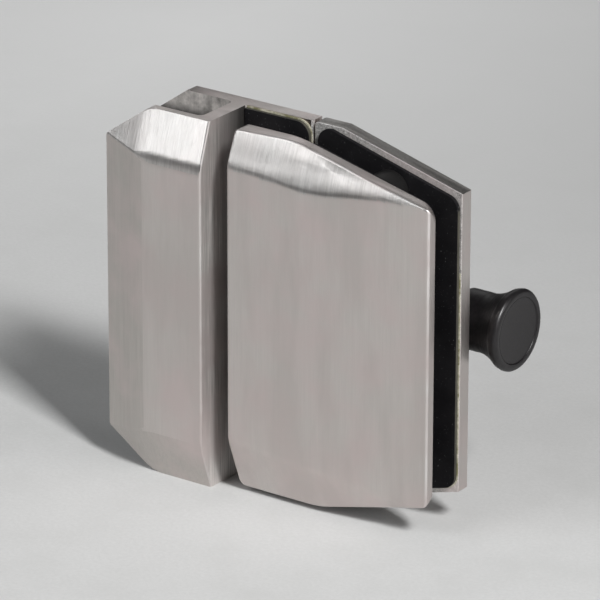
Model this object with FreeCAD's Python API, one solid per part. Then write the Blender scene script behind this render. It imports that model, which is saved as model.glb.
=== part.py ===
import FreeCAD, Part
import math
import os

# Gate latch for a frameless glass pool fence, shown closed.
# The strike clamps on the edge of the fixed glass panel. The latch unit clamps the gate glass
# between a front cover and a back plate, and carries a spring bolt that a knob pulls back.
# Working frame: x = 0 is the strike's wall that faces the gate, y = 0 is the strike's front
# face, z = 0 is the underside. +X runs towards the knob, +Y to the back, +Z up. The finished
# pieces are moved once, so that the origin is the bottom centre of the whole latch.

# Overall sizes, in millimetres
height = 110.0
plate_front_y = 22.1
plate_thickness = 4.5
bolt_axis_behind_plate = 13.4

# Strike body
strike_width = 35.9
stop_plate_reach = 22.6
front_facet_depth = 4.6
end_facet_height = 13.5
side_facet_width = 15.4
corner_cut_width = 15.3
corner_cut_height = 10.8
channel_front_wall = 6.0
web_thickness = 5.2
channel_fillet_radius = 1.5
stop_corner_radius = 1.5

# Back plate of the latch unit
plate_gap = 1.4
plate_width = 48.5
plate_straight_width = 8.5
plate_taper_drop = 10.8
plate_corner_radius = 2.0

# Gaskets and glass
gate_glass_gap = 8.0
pad_thickness = 1.5
cover_pad_thickness = 1.0
pad_margin = 1.1
stop_pad_margin = 0.3
pad_corner_radius = 4.0
pad_inner_corner_radius = 1.5

# Front cover
cover_left_x = 7.5
cover_width = 63.5
cover_straight_width = 22.9
cover_end_margin = 1.15
cover_taper_drop = 10.05
cover_rim_thickness = 3.5
cover_rise = 6.1
cover_left_radius = 1.5
cover_right_radius = 4.0
cover_bend_radius = 14.0

# Screws that join cover and back plate, and their bushes in the gate glass
cover_bolt_from_right = 22.5
cover_bolt_from_end = 14.0
cover_bolt_radius = 3.0
cover_bolt_head_radius = 5.8
cover_bolt_thread_depth = 4.0
bush_radius = 6.0

# Bolt housing and keeper, both with the same barrel and foot
barrel_radius = 12.0
foot_half_height = 18.0
foot_thickness = 4.4
foot_corner_radius = 3.0
foot_screw_offset = 14.6
foot_screw_radius = 2.0
foot_screw_head_radius = 3.8
housing_inset = 1.4
housing_length = 30.0
housing_screw_inset = 5.0
bolt_guide_length = 7.0
spring_chamber_radius = 7.5
end_cap_radius = 9.0
end_cap_thickness = 4.0
spanner_hole_radius = 1.0
spanner_hole_offset = 6.2
spanner_hole_depth = 2.0
keeper_length = 18.0
keeper_inset = 2.6
keeper_bolt_clearance = 0.5

# Bolt, stem, spring and ring
bolt_radius = 6.0
bolt_length = 21.8
bolt_engagement = 7.0
bolt_bevel = 6.5
stem_radius = 3.0
bolt_travel = 10.0
guide_pin_radius = 1.5
guide_pin_inset = 3.5
guide_pin_bite = 1.7
ring_radius = 7.1
ring_thickness = 1.0
ring_groove_depth = 0.8
ring_opening_angle = 50.0
spring_wire_radius = 0.45
spring_mean_radius = 4.7
spring_turns = 6.0

# Knob
knob_gap = 7.5
knob_length = 17.0
knob_neck_radius = 8.35
knob_waist_radius = 7.9
knob_rim_radius = 11.7
knob_rim_thickness = 1.6
knob_flare_length = 5.0
knob_recess_radius = 9.9
knob_recess_depth = 0.7
knob_edge_radius = 0.6
knob_socket_depth = 13.5
knob_screw_radius = 2.0
knob_screw_length = 4.5
knob_screw_inset = 4.0

# Screws that clamp the fixed glass
grub_screw_radius = 4.0
grub_screw_length = 7.0
grub_screw_from_wall = 13.0
grub_screw_spacing = 44.0
grub_socket_radius = 2.3
grub_socket_depth = 4.0
grub_tip_radius = 3.4
grub_tip_thickness = 1.5

# Fits, as distances between two surfaces
running_fit = 0.06
thread_fit = 0.05
loose_fit = 0.3

# Shares of a piece's own size
countersink_slope = 1.0
screw_socket_radius_share = 0.75
screw_socket_depth_share = 0.9
knob_flare_bend_along = 0.62
knob_flare_bend_out = 0.25

# Places that follow from the sizes above
centre_z = height / 2
plate_back_y = plate_front_y + plate_thickness
axis_y = plate_back_y + bolt_axis_behind_plate
pad_front_y = plate_front_y - pad_thickness
cover_pad_back_y = pad_front_y - gate_glass_gap
cover_back_y = cover_pad_back_y - cover_pad_thickness
cover_rim_y = cover_back_y - cover_rim_thickness
cover_front_y = cover_rim_y - cover_rise
plate_left_x = stop_plate_reach + plate_gap
plate_right_x = plate_left_x + plate_width
cover_right_x = cover_left_x + cover_width
cover_bolt_x = plate_right_x - cover_bolt_from_right
cover_bolt_heights = (cover_bolt_from_end, height - cover_bolt_from_end)
keeper_right_x = stop_plate_reach - keeper_inset
keeper_left_x = keeper_right_x - keeper_length
housing_left_x = plate_left_x + housing_inset
housing_right_x = housing_left_x + housing_length
chamber_left_x = housing_left_x + bolt_guide_length
chamber_right_x = housing_right_x - end_cap_thickness
bolt_tip_x = keeper_right_x - bolt_engagement
bolt_shoulder_x = bolt_tip_x + bolt_length
ring_left_x = chamber_left_x + loose_fit
knob_left_x = housing_right_x + knob_gap
knob_right_x = knob_left_x + knob_length
foot_screw_heights = (centre_z - foot_screw_offset, centre_z + foot_screw_offset)

back_reach = max(barrel_radius, knob_rim_radius)
row_origin = FreeCAD.Vector((knob_right_x - strike_width) / 2, (axis_y + back_reach) / 2, 0)


def box(x0, x1, y0, y1, z0, z1):
    """Block between two corners."""
    return Part.makeBox(x1 - x0, y1 - y0, z1 - z0, FreeCAD.Vector(x0, y0, z0))


def rod_along_x(radius, x0, x1):
    """Cylinder on the bolt's axis."""
    return Part.makeCylinder(radius, x1 - x0, FreeCAD.Vector(x0, axis_y, centre_z),
                             FreeCAD.Vector(1, 0, 0))


def rod_along_y(radius, y0, y1, x, z):
    """Cylinder along the depth at one place of the front view."""
    return Part.makeCylinder(radius, y1 - y0, FreeCAD.Vector(x, y0, z), FreeCAD.Vector(0, 1, 0))


def unit(vector):
    """Copy of a vector with length 1."""
    return FreeCAD.Vector(vector).normalize()


def outline_face(corners, radii, y):
    """Face in the front view, from (x, z) corners that are each rounded by their own radius."""
    points = [FreeCAD.Vector(x, y, z) for x, z in corners]
    bends = []
    for index, corner in enumerate(points):
        radius = radii[index]
        if radius == 0:
            bends.append((corner, None, corner))
            continue
        back = unit(points[index - 1] - corner)
        ahead = unit(points[(index + 1) % len(points)] - corner)
        half_angle = back.getAngle(ahead) / 2
        reach = radius / math.tan(half_angle)
        centre = corner + unit(back + ahead) * (radius / math.sin(half_angle))
        middle = centre + unit(corner - centre) * radius
        bends.append((corner + back * reach, middle, corner + ahead * reach))
    edges = []
    for index, (start, middle, end) in enumerate(bends):
        if middle is not None:
            edges.append(Part.Arc(start, middle, end).toShape())
        edges.append(Part.LineSegment(end, bends[(index + 1) % len(bends)][0]).toShape())
    return Part.Face(Part.Wire(edges))


def plate(corners, radii, y0, y1):
    """Flat plate with a rounded outline in the front view."""
    return outline_face(corners, radii, y0).extrude(FreeCAD.Vector(0, y1 - y0, 0))


def polyhedron(points, faces):
    """Solid from named corner points and faces that list their corners' names."""
    shells = []
    for names in faces:
        ring = [FreeCAD.Vector(*points[name]) for name in names]
        shells.append(Part.Face(Part.makePolygon(ring + ring[:1])))
    solid = Part.Solid(Part.Shell(shells))
    if solid.Volume < 0:
        solid.reverse()
    return solid


def hexagon_socket(radius, y0, y1, x, z):
    """Hexagon recess along the depth; the radius is to its corners."""
    corners = []
    for step in range(6):
        angle = math.radians(60 * step)
        corners.append((x + radius * math.cos(angle), z + radius * math.sin(angle)))
    return plate(corners, [0] * 6, y0, y1)


def countersunk_screw(x, z, face_y, direction, radius, head_radius, length, gap=0.0):
    """Countersunk screw whose head is flush with face_y; with a gap it is the hole for it."""
    head_depth = (head_radius - radius) * countersink_slope
    along = FreeCAD.Vector(0, direction, 0)
    start = FreeCAD.Vector(x, face_y, z)
    head = Part.makeCone(head_radius + gap, radius + gap, head_depth, start, along)
    shank = Part.makeCylinder(radius + gap, length, start, along)
    screw = head.fuse(shank).removeSplitter()
    if gap == 0.0:
        socket_depth = head_depth * screw_socket_depth_share
        low_y, high_y = sorted((face_y, face_y + direction * socket_depth))
        screw = screw.cut(hexagon_socket(radius * screw_socket_radius_share,
                                         low_y, high_y, x, z))
    return screw


def strike_outline():
    """Corners of the strike block in the front view, without the stop plate."""
    return [(-strike_width, corner_cut_height), (-strike_width + corner_cut_width, 0),
            (0, 0), (0, height), (-strike_width + corner_cut_width, height),
            (-strike_width, height - corner_cut_height)]


def strike_front_cap():
    """Faceted front of the strike block, down to the depth where its sides begin."""
    face_left = -strike_width + side_facet_width
    low = end_facet_height
    high = height - end_facet_height
    points = {"front_low_left": (face_left, 0, low), "front_low_right": (0, 0, low),
              "front_high_right": (0, 0, high), "front_high_left": (face_left, 0, high)}
    names = ["side_low", "end_low", "wall_low", "wall_high", "end_high", "side_high"]
    for name, (x, z) in zip(names, strike_outline()):
        points[name] = (x, front_facet_depth, z)
    faces = [("front_low_left", "front_low_right", "front_high_right", "front_high_left"),
             ("front_low_left", "side_low", "end_low"),
             ("front_low_left", "end_low", "wall_low", "front_low_right"),
             ("front_low_right", "wall_low", "wall_high", "front_high_right"),
             ("front_high_right", "wall_high", "end_high", "front_high_left"),
             ("front_high_left", "end_high", "side_high"),
             ("front_high_left", "side_high", "side_low", "front_low_left"),
             ("side_low", "side_high", "end_high", "wall_high", "wall_low", "end_low")]
    return polyhedron(points, faces)


def grub_screw_places():
    """Places of the two glass clamping screws in the front view."""
    x = -grub_screw_from_wall
    return [(x, centre_z - grub_screw_spacing / 2), (x, centre_z + grub_screw_spacing / 2)]


def make_strike_body():
    """Block with faceted front, glass channel and stop plate, in one casting."""
    block = plate(strike_outline(), [0] * 6, front_facet_depth, plate_back_y)
    body = strike_front_cap().fuse(block)
    stop_corners = [(-web_thickness, 0), (stop_plate_reach, 0), (stop_plate_reach, height),
                    (-web_thickness, height)]
    stop_radii = [0, stop_corner_radius, stop_corner_radius, 0]
    body = body.fuse(plate(stop_corners, stop_radii, plate_front_y, plate_back_y))
    body = body.removeSplitter()
    channel = box(-2 * strike_width, -web_thickness, channel_front_wall, plate_front_y,
                  -height, 2 * height)
    corner_edges = [edge for edge in channel.Edges
                    if abs(edge.CenterOfMass.x + web_thickness) < thread_fit
                    and edge.Length > height]
    channel = channel.makeFillet(channel_fillet_radius, corner_edges)
    body = body.cut(channel)
    for x, z in grub_screw_places():
        body = body.cut(rod_along_y(grub_screw_radius + thread_fit, channel_front_wall,
                                    plate_back_y + loose_fit, x, z))
    for z in foot_screw_heights:
        body = body.cut(foot_screw_hole(keeper_centre_x(), z))
    return body


def keeper_centre_x():
    """Middle of the keeper, where its screws are."""
    return (keeper_left_x + keeper_right_x) / 2


def make_strike_stop_pad():
    """Gasket on the front of the stop plate that the gate glass closes against."""
    left = stop_pad_margin
    right = stop_plate_reach - stop_pad_margin
    low = pad_margin
    high = height - pad_margin
    corners = [(left, low), (right, low), (right, high), (left, high)]
    radii = [0, pad_corner_radius, pad_corner_radius, 0]
    return plate(corners, radii, pad_front_y, plate_front_y)


def barrel_on_foot(x0, x1):
    """Half-round barrel on the bolt's axis, standing on a foot against the plate."""
    barrel = rod_along_x(barrel_radius, x0, x1)
    base = box(x0, x1, plate_back_y, axis_y, centre_z - barrel_radius, centre_z + barrel_radius)
    foot_corners = [(x0, centre_z - foot_half_height), (x1, centre_z - foot_half_height),
                    (x1, centre_z + foot_half_height), (x0, centre_z + foot_half_height)]
    foot = plate(foot_corners, [foot_corner_radius] * 4, plate_back_y,
                 plate_back_y + foot_thickness)
    outer = barrel.fuse(base).fuse(foot)
    trim = box(x0, x1, plate_back_y, axis_y + barrel_radius,
               centre_z - foot_half_height, centre_z + foot_half_height)
    return outer.common(trim).removeSplitter()


def foot_screw(x, z):
    """Screw through a plate into a foot behind it, with its head in the plate's front."""
    return countersunk_screw(x, z, plate_front_y, 1, foot_screw_radius,
                             foot_screw_head_radius, plate_thickness + foot_thickness)


def foot_screw_hole(x, z):
    """Hole for a foot screw through the plate and the foot."""
    return countersunk_screw(x, z, plate_front_y, 1, foot_screw_radius,
                             foot_screw_head_radius, 2 * plate_thickness + foot_thickness,
                             thread_fit)


def make_strike_keeper():
    """Block behind the stop plate, with the bore that the bolt enters."""
    keeper = barrel_on_foot(keeper_left_x, keeper_right_x)
    keeper = keeper.cut(rod_along_x(bolt_radius + keeper_bolt_clearance,
                                    keeper_left_x - loose_fit, keeper_right_x + loose_fit))
    for z in foot_screw_heights:
        keeper = keeper.cut(foot_screw_hole(keeper_centre_x(), z))
    return keeper


def make_keeper_screws():
    """Two screws that hold the keeper on the stop plate."""
    return Part.Compound([foot_screw(keeper_centre_x(), z) for z in foot_screw_heights])


def grub_screw_front_y():
    """Depth of the clamping screws' front ends."""
    return plate_back_y - grub_screw_length


def make_strike_grub_screws():
    """Two grub screws through the channel's back wall that clamp the fixed glass."""
    screws = []
    for x, z in grub_screw_places():
        screw = rod_along_y(grub_screw_radius, grub_screw_front_y(), plate_back_y, x, z)
        socket = hexagon_socket(grub_socket_radius, plate_back_y - grub_socket_depth,
                                plate_back_y, x, z)
        screws.append(screw.cut(socket))
    return Part.Compound(screws)


def make_strike_screw_tips():
    """Nylon tips between the grub screws and the glass."""
    tips = []
    for x, z in grub_screw_places():
        tips.append(rod_along_y(grub_tip_radius, grub_screw_front_y() - grub_tip_thickness,
                                grub_screw_front_y(), x, z))
    return Part.Compound(tips)


def plate_outline(margin):
    """Corners of the back plate in the front view, drawn in by a margin."""
    left = plate_left_x + margin
    right = plate_right_x - margin
    bend = plate_left_x + plate_straight_width
    low = margin
    high = height - margin
    drop = plate_taper_drop * (right - bend) / (plate_right_x - bend)
    return [(left, low), (bend, low), (right, low + drop), (right, high - drop),
            (bend, high), (left, high)]


def cover_bolt_hole(x, z, y0, y1, gap):
    """Clearance hole for a cover bolt between two depths."""
    return rod_along_y(cover_bolt_radius + gap, y0, y1, x, z)


def cover_bolt_length():
    """Length of a cover bolt from its flush head to its end inside the cover."""
    return plate_back_y - cover_back_y + cover_bolt_thread_depth


def housing_screw_places():
    """Places of the four housing screws in the front view."""
    columns = (housing_left_x + housing_screw_inset, housing_right_x - housing_screw_inset)
    return [(x, z) for x in columns for z in foot_screw_heights]


def make_back_plate():
    """Tapered plate behind the gate glass."""
    radii = [plate_corner_radius, 0, 0, 0, 0, plate_corner_radius]
    body = plate(plate_outline(0), radii, plate_front_y, plate_back_y)
    for z in cover_bolt_heights:
        body = body.cut(countersunk_screw(cover_bolt_x, z, plate_back_y, -1, cover_bolt_radius,
                                          cover_bolt_head_radius, 2 * plate_thickness,
                                          thread_fit))
    for x, z in housing_screw_places():
        body = body.cut(foot_screw_hole(x, z))
    return body


def make_back_plate_pad():
    """Gasket on the front of the back plate."""
    radii = [pad_corner_radius, pad_corner_radius, pad_inner_corner_radius,
             pad_inner_corner_radius, pad_corner_radius, pad_corner_radius]
    pad = plate(plate_outline(pad_margin), radii, pad_front_y, plate_front_y)
    for z in cover_bolt_heights:
        pad = pad.cut(cover_bolt_hole(cover_bolt_x, z, pad_front_y, plate_front_y, loose_fit))
    return pad


def cover_outline(margin):
    """Corners of the front cover in the front view, drawn in by a margin."""
    left = cover_left_x + margin
    right = cover_right_x - margin
    bend = cover_left_x + cover_straight_width
    low = cover_end_margin + margin
    high = height - low
    drop = cover_taper_drop * (right - bend) / (cover_right_x - bend)
    return [(left, low), (bend, low), (right, low + drop), (right, high - drop),
            (bend, high), (left, high)]


def cover_polyhedron():
    """Sharp form of the cover: a front face that slopes back to the right, and end facets."""
    names = ["left_low", "bend_low", "right_low", "right_high", "bend_high", "left_high"]
    points = {}
    for name, (x, z) in zip(names, cover_outline(0)):
        points["rim_" + name] = (x, cover_rim_y, z)
        points["back_" + name] = (x, cover_back_y, z)
    crease_low = cover_end_margin + cover_taper_drop
    points["crease_low"] = (cover_left_x, cover_front_y, crease_low)
    points["crease_high"] = (cover_left_x, cover_front_y, height - crease_low)
    faces = [("crease_low", "rim_right_low", "rim_right_high", "crease_high"),
             ("crease_high", "rim_right_high", "rim_bend_high"),
             ("crease_high", "rim_bend_high", "rim_left_high"),
             ("crease_low", "rim_bend_low", "rim_right_low"),
             ("crease_low", "rim_left_low", "rim_bend_low"),
             ("crease_low", "crease_high", "rim_left_high", "back_left_high",
              "back_left_low", "rim_left_low"),
             tuple("back_" + name for name in names)]
    for first, second in zip(names[:-1], names[1:]):
        faces.append(("rim_" + first, "rim_" + second, "back_" + second, "back_" + first))
    return polyhedron(points, faces)


def make_front_cover():
    """Front cover, with blind threaded holes for the two cover bolts."""
    radii = [cover_left_radius, cover_bend_radius, cover_right_radius,
             cover_right_radius, cover_bend_radius, cover_left_radius]
    rounded = plate(cover_outline(0), radii, cover_front_y, cover_back_y)
    cover = cover_polyhedron().common(rounded)
    for z in cover_bolt_heights:
        cover = cover.cut(cover_bolt_hole(cover_bolt_x, z,
                                          cover_back_y - cover_bolt_thread_depth - thread_fit,
                                          cover_back_y, thread_fit))
    return cover


def make_cover_pad():
    """Gasket on the back of the front cover."""
    radii = [cover_left_radius, 0, cover_right_radius, cover_right_radius, 0, cover_left_radius]
    pad = plate(cover_outline(pad_margin), radii, cover_back_y, cover_pad_back_y)
    for z in cover_bolt_heights:
        pad = pad.cut(cover_bolt_hole(cover_bolt_x, z, cover_back_y, cover_pad_back_y, loose_fit))
    return pad


def make_cover_bolts():
    """Two screws from the back plate into the cover."""
    bolts = []
    for z in cover_bolt_heights:
        bolts.append(countersunk_screw(cover_bolt_x, z, plate_back_y, -1, cover_bolt_radius,
                                       cover_bolt_head_radius, cover_bolt_length()))
    return Part.Compound(bolts)


def make_glass_bushes():
    """Two bushes round the cover bolts, as long as the glass is thick."""
    bushes = []
    for z in cover_bolt_heights:
        bush = rod_along_y(bush_radius, cover_pad_back_y, pad_front_y, cover_bolt_x, z)
        bushes.append(bush.cut(cover_bolt_hole(cover_bolt_x, z, cover_pad_back_y, pad_front_y,
                                               loose_fit)))
    return Part.Compound(bushes)


def guide_pin_x():
    """Place of the guide pin along the housing."""
    return housing_left_x + guide_pin_inset


def guide_pin(radius, low_z, high_z):
    """Upright pin, or the hole for it, over the bolt."""
    return Part.makeCylinder(radius, high_z - low_z,
                             FreeCAD.Vector(guide_pin_x(), axis_y, low_z))


def guide_pin_low_z():
    """Height of the guide pin's lower end, inside the bolt's slot."""
    return centre_z + bolt_radius - guide_pin_bite


def make_latch_housing():
    """Housing with the bolt's guide, the spring chamber and the seat of the end cap."""
    housing = barrel_on_foot(housing_left_x, housing_right_x)
    bore = rod_along_x(bolt_radius + running_fit, housing_left_x - loose_fit, chamber_left_x)
    chamber = rod_along_x(spring_chamber_radius, chamber_left_x, chamber_right_x)
    seat = rod_along_x(end_cap_radius + thread_fit, chamber_right_x,
                       housing_right_x + loose_fit)
    housing = housing.cut(bore.fuse(chamber).fuse(seat))
    for x, z in housing_screw_places():
        housing = housing.cut(foot_screw_hole(x, z))
    pin_hole = guide_pin(guide_pin_radius + thread_fit, centre_z,
                         centre_z + barrel_radius + loose_fit)
    return housing.cut(pin_hole)


def make_housing_screws():
    """Four screws that hold the housing on the back plate."""
    return Part.Compound([foot_screw(x, z) for x, z in housing_screw_places()])


def make_housing_end_cap():
    """Cap that closes the spring chamber and guides the stem, with two spanner holes."""
    cap = rod_along_x(end_cap_radius, chamber_right_x, housing_right_x)
    cap = cap.cut(rod_along_x(stem_radius + running_fit, chamber_right_x, housing_right_x))
    for side in (-1, 1):
        start = FreeCAD.Vector(housing_right_x - spanner_hole_depth,
                               axis_y, centre_z + side * spanner_hole_offset)
        cap = cap.cut(Part.makeCylinder(spanner_hole_radius, spanner_hole_depth, start,
                                        FreeCAD.Vector(1, 0, 0)))
    return cap


def make_guide_pin():
    """Pin that keeps the bolt's bevel facing the right way."""
    return guide_pin(guide_pin_radius, guide_pin_low_z(), centre_z + barrel_radius)


def make_return_spring():
    """Compression spring round the stem, between the bolt's shoulder and the end cap."""
    clear_length = chamber_right_x - bolt_shoulder_x
    rise = clear_length - 2 * spring_wire_radius - 2 * running_fit
    helix = Part.makeHelix(rise / spring_turns, rise, spring_mean_radius)
    section = Part.Wire(Part.makeCircle(spring_wire_radius,
                                        FreeCAD.Vector(spring_mean_radius, 0, 0),
                                        FreeCAD.Vector(0, 1, 0)))
    coil = Part.Wire(helix.Edges).makePipeShell([section], True, True)
    coil.rotate(FreeCAD.Vector(0, 0, 0), FreeCAD.Vector(0, 1, 0), 90)
    coil.translate(FreeCAD.Vector(bolt_shoulder_x + spring_wire_radius + running_fit,
                                  axis_y, centre_z))
    return coil


def make_latch_bolt():
    """Round bolt with bevelled tip, guide slot and ring groove, and the stem to the knob."""
    bolt = rod_along_x(bolt_radius, bolt_tip_x, bolt_shoulder_x)
    stem = rod_along_x(stem_radius, bolt_shoulder_x, knob_left_x + knob_socket_depth)
    bolt = bolt.fuse(stem)
    far_y = axis_y + bolt_radius + loose_fit
    near_y = axis_y + bolt_radius - bolt_bevel
    wedge_x = bolt_tip_x + bolt_bevel + loose_fit
    wedge = [FreeCAD.Vector(bolt_tip_x - loose_fit, near_y - loose_fit, 0),
             FreeCAD.Vector(wedge_x, far_y, 0),
             FreeCAD.Vector(bolt_tip_x - loose_fit, far_y, 0)]
    bevel = Part.Face(Part.makePolygon(wedge + wedge[:1]))
    bolt = bolt.cut(bevel.extrude(FreeCAD.Vector(0, 0, height)))
    half_width = guide_pin_radius + loose_fit
    slot = box(guide_pin_x() - bolt_travel - half_width, guide_pin_x() + half_width,
               axis_y - half_width, axis_y + half_width,
               guide_pin_low_z() - loose_fit, centre_z + 2 * bolt_radius)
    bolt = bolt.cut(slot)
    groove = rod_along_x(2 * bolt_radius, ring_left_x, ring_left_x + ring_thickness)
    core = rod_along_x(bolt_radius - ring_groove_depth, ring_left_x,
                       ring_left_x + ring_thickness)
    return bolt.cut(groove.cut(core))


def make_bolt_stop_ring():
    """Retaining ring in the bolt's groove that stops the bolt against the guide."""
    outer = rod_along_x(ring_radius, ring_left_x, ring_left_x + ring_thickness)
    inner = rod_along_x(bolt_radius - ring_groove_depth, ring_left_x,
                        ring_left_x + ring_thickness)
    reach = 2 * ring_radius
    half_width = reach * math.tan(math.radians(ring_opening_angle / 2))
    start = FreeCAD.Vector(ring_left_x, axis_y, centre_z)
    opening = [start, start + FreeCAD.Vector(0, -half_width, -reach),
               start + FreeCAD.Vector(0, half_width, -reach)]
    gap = Part.Face(Part.makePolygon(opening + opening[:1]))
    return outer.cut(inner).cut(gap.extrude(FreeCAD.Vector(ring_thickness, 0, 0)))


def make_knob():
    """Turned pull knob: neck, waist, flared rim and recessed end face, bored for the stem."""
    def at(x, radius):
        return FreeCAD.Vector(x, axis_y, centre_z + radius)

    rim_left_x = knob_right_x - knob_rim_thickness
    waist_x = rim_left_x - knob_flare_length
    edge = knob_edge_radius
    diagonal = edge * (1 - math.sqrt(0.5))
    flare_rise = knob_rim_radius - knob_waist_radius
    flare_bend = at(waist_x + knob_flare_length * knob_flare_bend_along,
                    knob_waist_radius + flare_rise * knob_flare_bend_out)
    recess_left_x = knob_right_x - knob_recess_depth
    segments = [
        Part.LineSegment(at(knob_left_x, 0), at(knob_left_x, knob_neck_radius - edge)),
        Part.Arc(at(knob_left_x, knob_neck_radius - edge),
                 at(knob_left_x + diagonal, knob_neck_radius - diagonal),
                 at(knob_left_x + edge, knob_neck_radius)),
        Part.LineSegment(at(knob_left_x + edge, knob_neck_radius),
                         at(waist_x, knob_waist_radius)),
        Part.Arc(at(waist_x, knob_waist_radius), flare_bend, at(rim_left_x, knob_rim_radius)),
        Part.LineSegment(at(rim_left_x, knob_rim_radius),
                         at(knob_right_x - edge, knob_rim_radius)),
        Part.Arc(at(knob_right_x - edge, knob_rim_radius),
                 at(knob_right_x - diagonal, knob_rim_radius - diagonal),
                 at(knob_right_x, knob_rim_radius - edge)),
        Part.LineSegment(at(knob_right_x, knob_rim_radius - edge),
                         at(knob_right_x, knob_recess_radius)),
        Part.LineSegment(at(knob_right_x, knob_recess_radius),
                         at(recess_left_x, knob_recess_radius - knob_recess_depth)),
        Part.LineSegment(at(recess_left_x, knob_recess_radius - knob_recess_depth),
                         at(recess_left_x, 0)),
        Part.LineSegment(at(recess_left_x, 0), at(knob_left_x, 0))]
    profile = Part.Face(Part.Wire([segment.toShape() for segment in segments]))
    knob = profile.revolve(FreeCAD.Vector(0, axis_y, centre_z), FreeCAD.Vector(1, 0, 0), 360)
    if knob.Volume < 0:
        knob.reverse()
    socket = rod_along_x(stem_radius + thread_fit, knob_left_x,
                         knob_left_x + knob_socket_depth + thread_fit)
    return knob.cut(socket).cut(knob_screw(knob_screw_radius + thread_fit, 2 * knob_neck_radius))


def knob_screw(radius, length):
    """Set screw that stands on the stem from below, or the hole for it."""
    x = knob_left_x + knob_screw_inset
    top_z = centre_z - stem_radius - thread_fit
    return Part.makeCylinder(radius, length, FreeCAD.Vector(x, axis_y, top_z),
                             FreeCAD.Vector(0, 0, -1))


def make_knob_grub_screw():
    """Set screw that locks the knob on the stem."""
    return knob_screw(knob_screw_radius, knob_screw_length)


makers = {
    "strike_body": make_strike_body,
    "strike_stop_pad": make_strike_stop_pad,
    "strike_keeper": make_strike_keeper,
    "keeper_screws": make_keeper_screws,
    "strike_grub_screws": make_strike_grub_screws,
    "strike_screw_tips": make_strike_screw_tips,
    "front_cover": make_front_cover,
    "cover_pad": make_cover_pad,
    "back_plate": make_back_plate,
    "back_plate_pad": make_back_plate_pad,
    "cover_bolts": make_cover_bolts,
    "glass_bushes": make_glass_bushes,
    "latch_housing": make_latch_housing,
    "housing_screws": make_housing_screws,
    "housing_end_cap": make_housing_end_cap,
    "guide_pin": make_guide_pin,
    "return_spring": make_return_spring,
    "latch_bolt": make_latch_bolt,
    "bolt_stop_ring": make_bolt_stop_ring,
    "knob": make_knob,
    "knob_grub_screw": make_knob_grub_screw,
}

os.makedirs("parts", exist_ok=True)
for node, maker in makers.items():
    shape = maker()
    shape.translate(row_origin * -1)
    shape.exportStep(os.path.join("parts", node + ".step"))
    print(node, len(shape.Solids), "solids", round(shape.Volume, 1), "mm3", shape.isValid())
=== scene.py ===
"""Looks of a pool gate latch for frameless glass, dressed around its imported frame.

The latch stands closed: the strike of the fixed panel on the left, the gate's cover and back
plate on the right, and the pull knob behind them. X runs along the bolt to the knob, Y to the
back and Z up. Sizes are fields of the classes, in millimetres for the latch and in metres for
the studio. Points, boxes and meshes are in metres.
"""
import logging
import math
from collections.abc import Callable, Iterator, Sequence
from contextlib import contextmanager
from dataclasses import dataclass, field
from enum import Enum
from functools import cache

import bmesh
import bpy
from mathutils import Matrix, Vector


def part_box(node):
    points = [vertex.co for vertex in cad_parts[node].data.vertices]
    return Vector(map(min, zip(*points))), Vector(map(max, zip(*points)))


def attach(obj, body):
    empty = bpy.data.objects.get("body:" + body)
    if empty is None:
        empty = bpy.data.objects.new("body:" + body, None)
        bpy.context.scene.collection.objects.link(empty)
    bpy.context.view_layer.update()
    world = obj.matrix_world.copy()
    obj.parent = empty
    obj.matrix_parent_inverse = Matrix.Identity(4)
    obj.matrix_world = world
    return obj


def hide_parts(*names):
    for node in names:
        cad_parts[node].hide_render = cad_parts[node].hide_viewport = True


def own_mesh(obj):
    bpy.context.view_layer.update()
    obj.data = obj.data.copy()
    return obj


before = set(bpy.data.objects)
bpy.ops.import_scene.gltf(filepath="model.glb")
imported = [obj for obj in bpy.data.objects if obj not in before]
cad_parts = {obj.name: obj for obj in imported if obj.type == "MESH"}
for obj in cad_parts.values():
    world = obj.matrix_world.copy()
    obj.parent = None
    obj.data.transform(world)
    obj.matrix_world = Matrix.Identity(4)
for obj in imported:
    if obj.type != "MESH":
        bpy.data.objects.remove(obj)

LOG = logging.getLogger("latch")
MM = 0.001
NEAR = 0.02 * MM
COOL = (0.96, 0.985, 1.0)

# Parts of a unit normal that tell how a steel face lies: its Y where it faces forward or belongs
# to an edge that gets a painted highlight, its Z on a top facet and its X or Z on a face with
# painted shade. Two faces lie the same way where their normals' product is past the last number.
FORWARD = -0.5
EDGE_HIGHLIGHT = (-0.83, -0.15)
TOP_FACET = 0.12
SHADED = -0.14
SAME_WAY = 0.9999

Colour = tuple[float, float, float]
Point = tuple[float, float, float]
Range = tuple[float, float]
Place = tuple[float, float]
Socket = bpy.types.NodeSocket
Material = bpy.types.Material
EdgeTest = Callable[[bmesh.types.BMEdge], bool]


class Body(Enum):
    """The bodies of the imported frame."""

    LATCH_UNIT = "latch_unit"
    BOLT = "bolt"
    STRIKE = "strike"


class Slot(Enum):
    """The record's material slots."""

    SATIN_STEEL = "satin_steel"
    PLAIN_STEEL = "plain_steel"
    SPRING_STEEL = "spring_steel"
    GASKET_RUBBER = "gasket_rubber"
    BLACK_NYLON = "black_nylon"
    CHARCOAL_COAT = "charcoal_coat"


class Grain(Enum):
    """Which way a metal's fine marks run, as how dense they are along X, Y and Z."""

    UPRIGHT = (1.0, 1.0, 0.02)
    SHORT_UPRIGHT = (1.0, 1.0, 0.16)
    DOWN_THE_FACET = (1.0, 0.05, 0.05)
    BANDS = (1.0, 1.0, 0.2)
    ROUND_THE_BOLT = (1.0, 0.03, 0.03)
    EVEN = (1.0, 1.0, 1.0)


class Facet(Enum):
    """The flat faces of the strike's casting that are ground into one another."""

    FRONT = "front"
    SIDE = "side"
    END = "end"
    CORNER = "corner"
    WALL = "wall"


RIPPLE_GRAINS = {Grain.UPRIGHT: Grain.SHORT_UPRIGHT, Grain.DOWN_THE_FACET: Grain.DOWN_THE_FACET}


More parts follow.
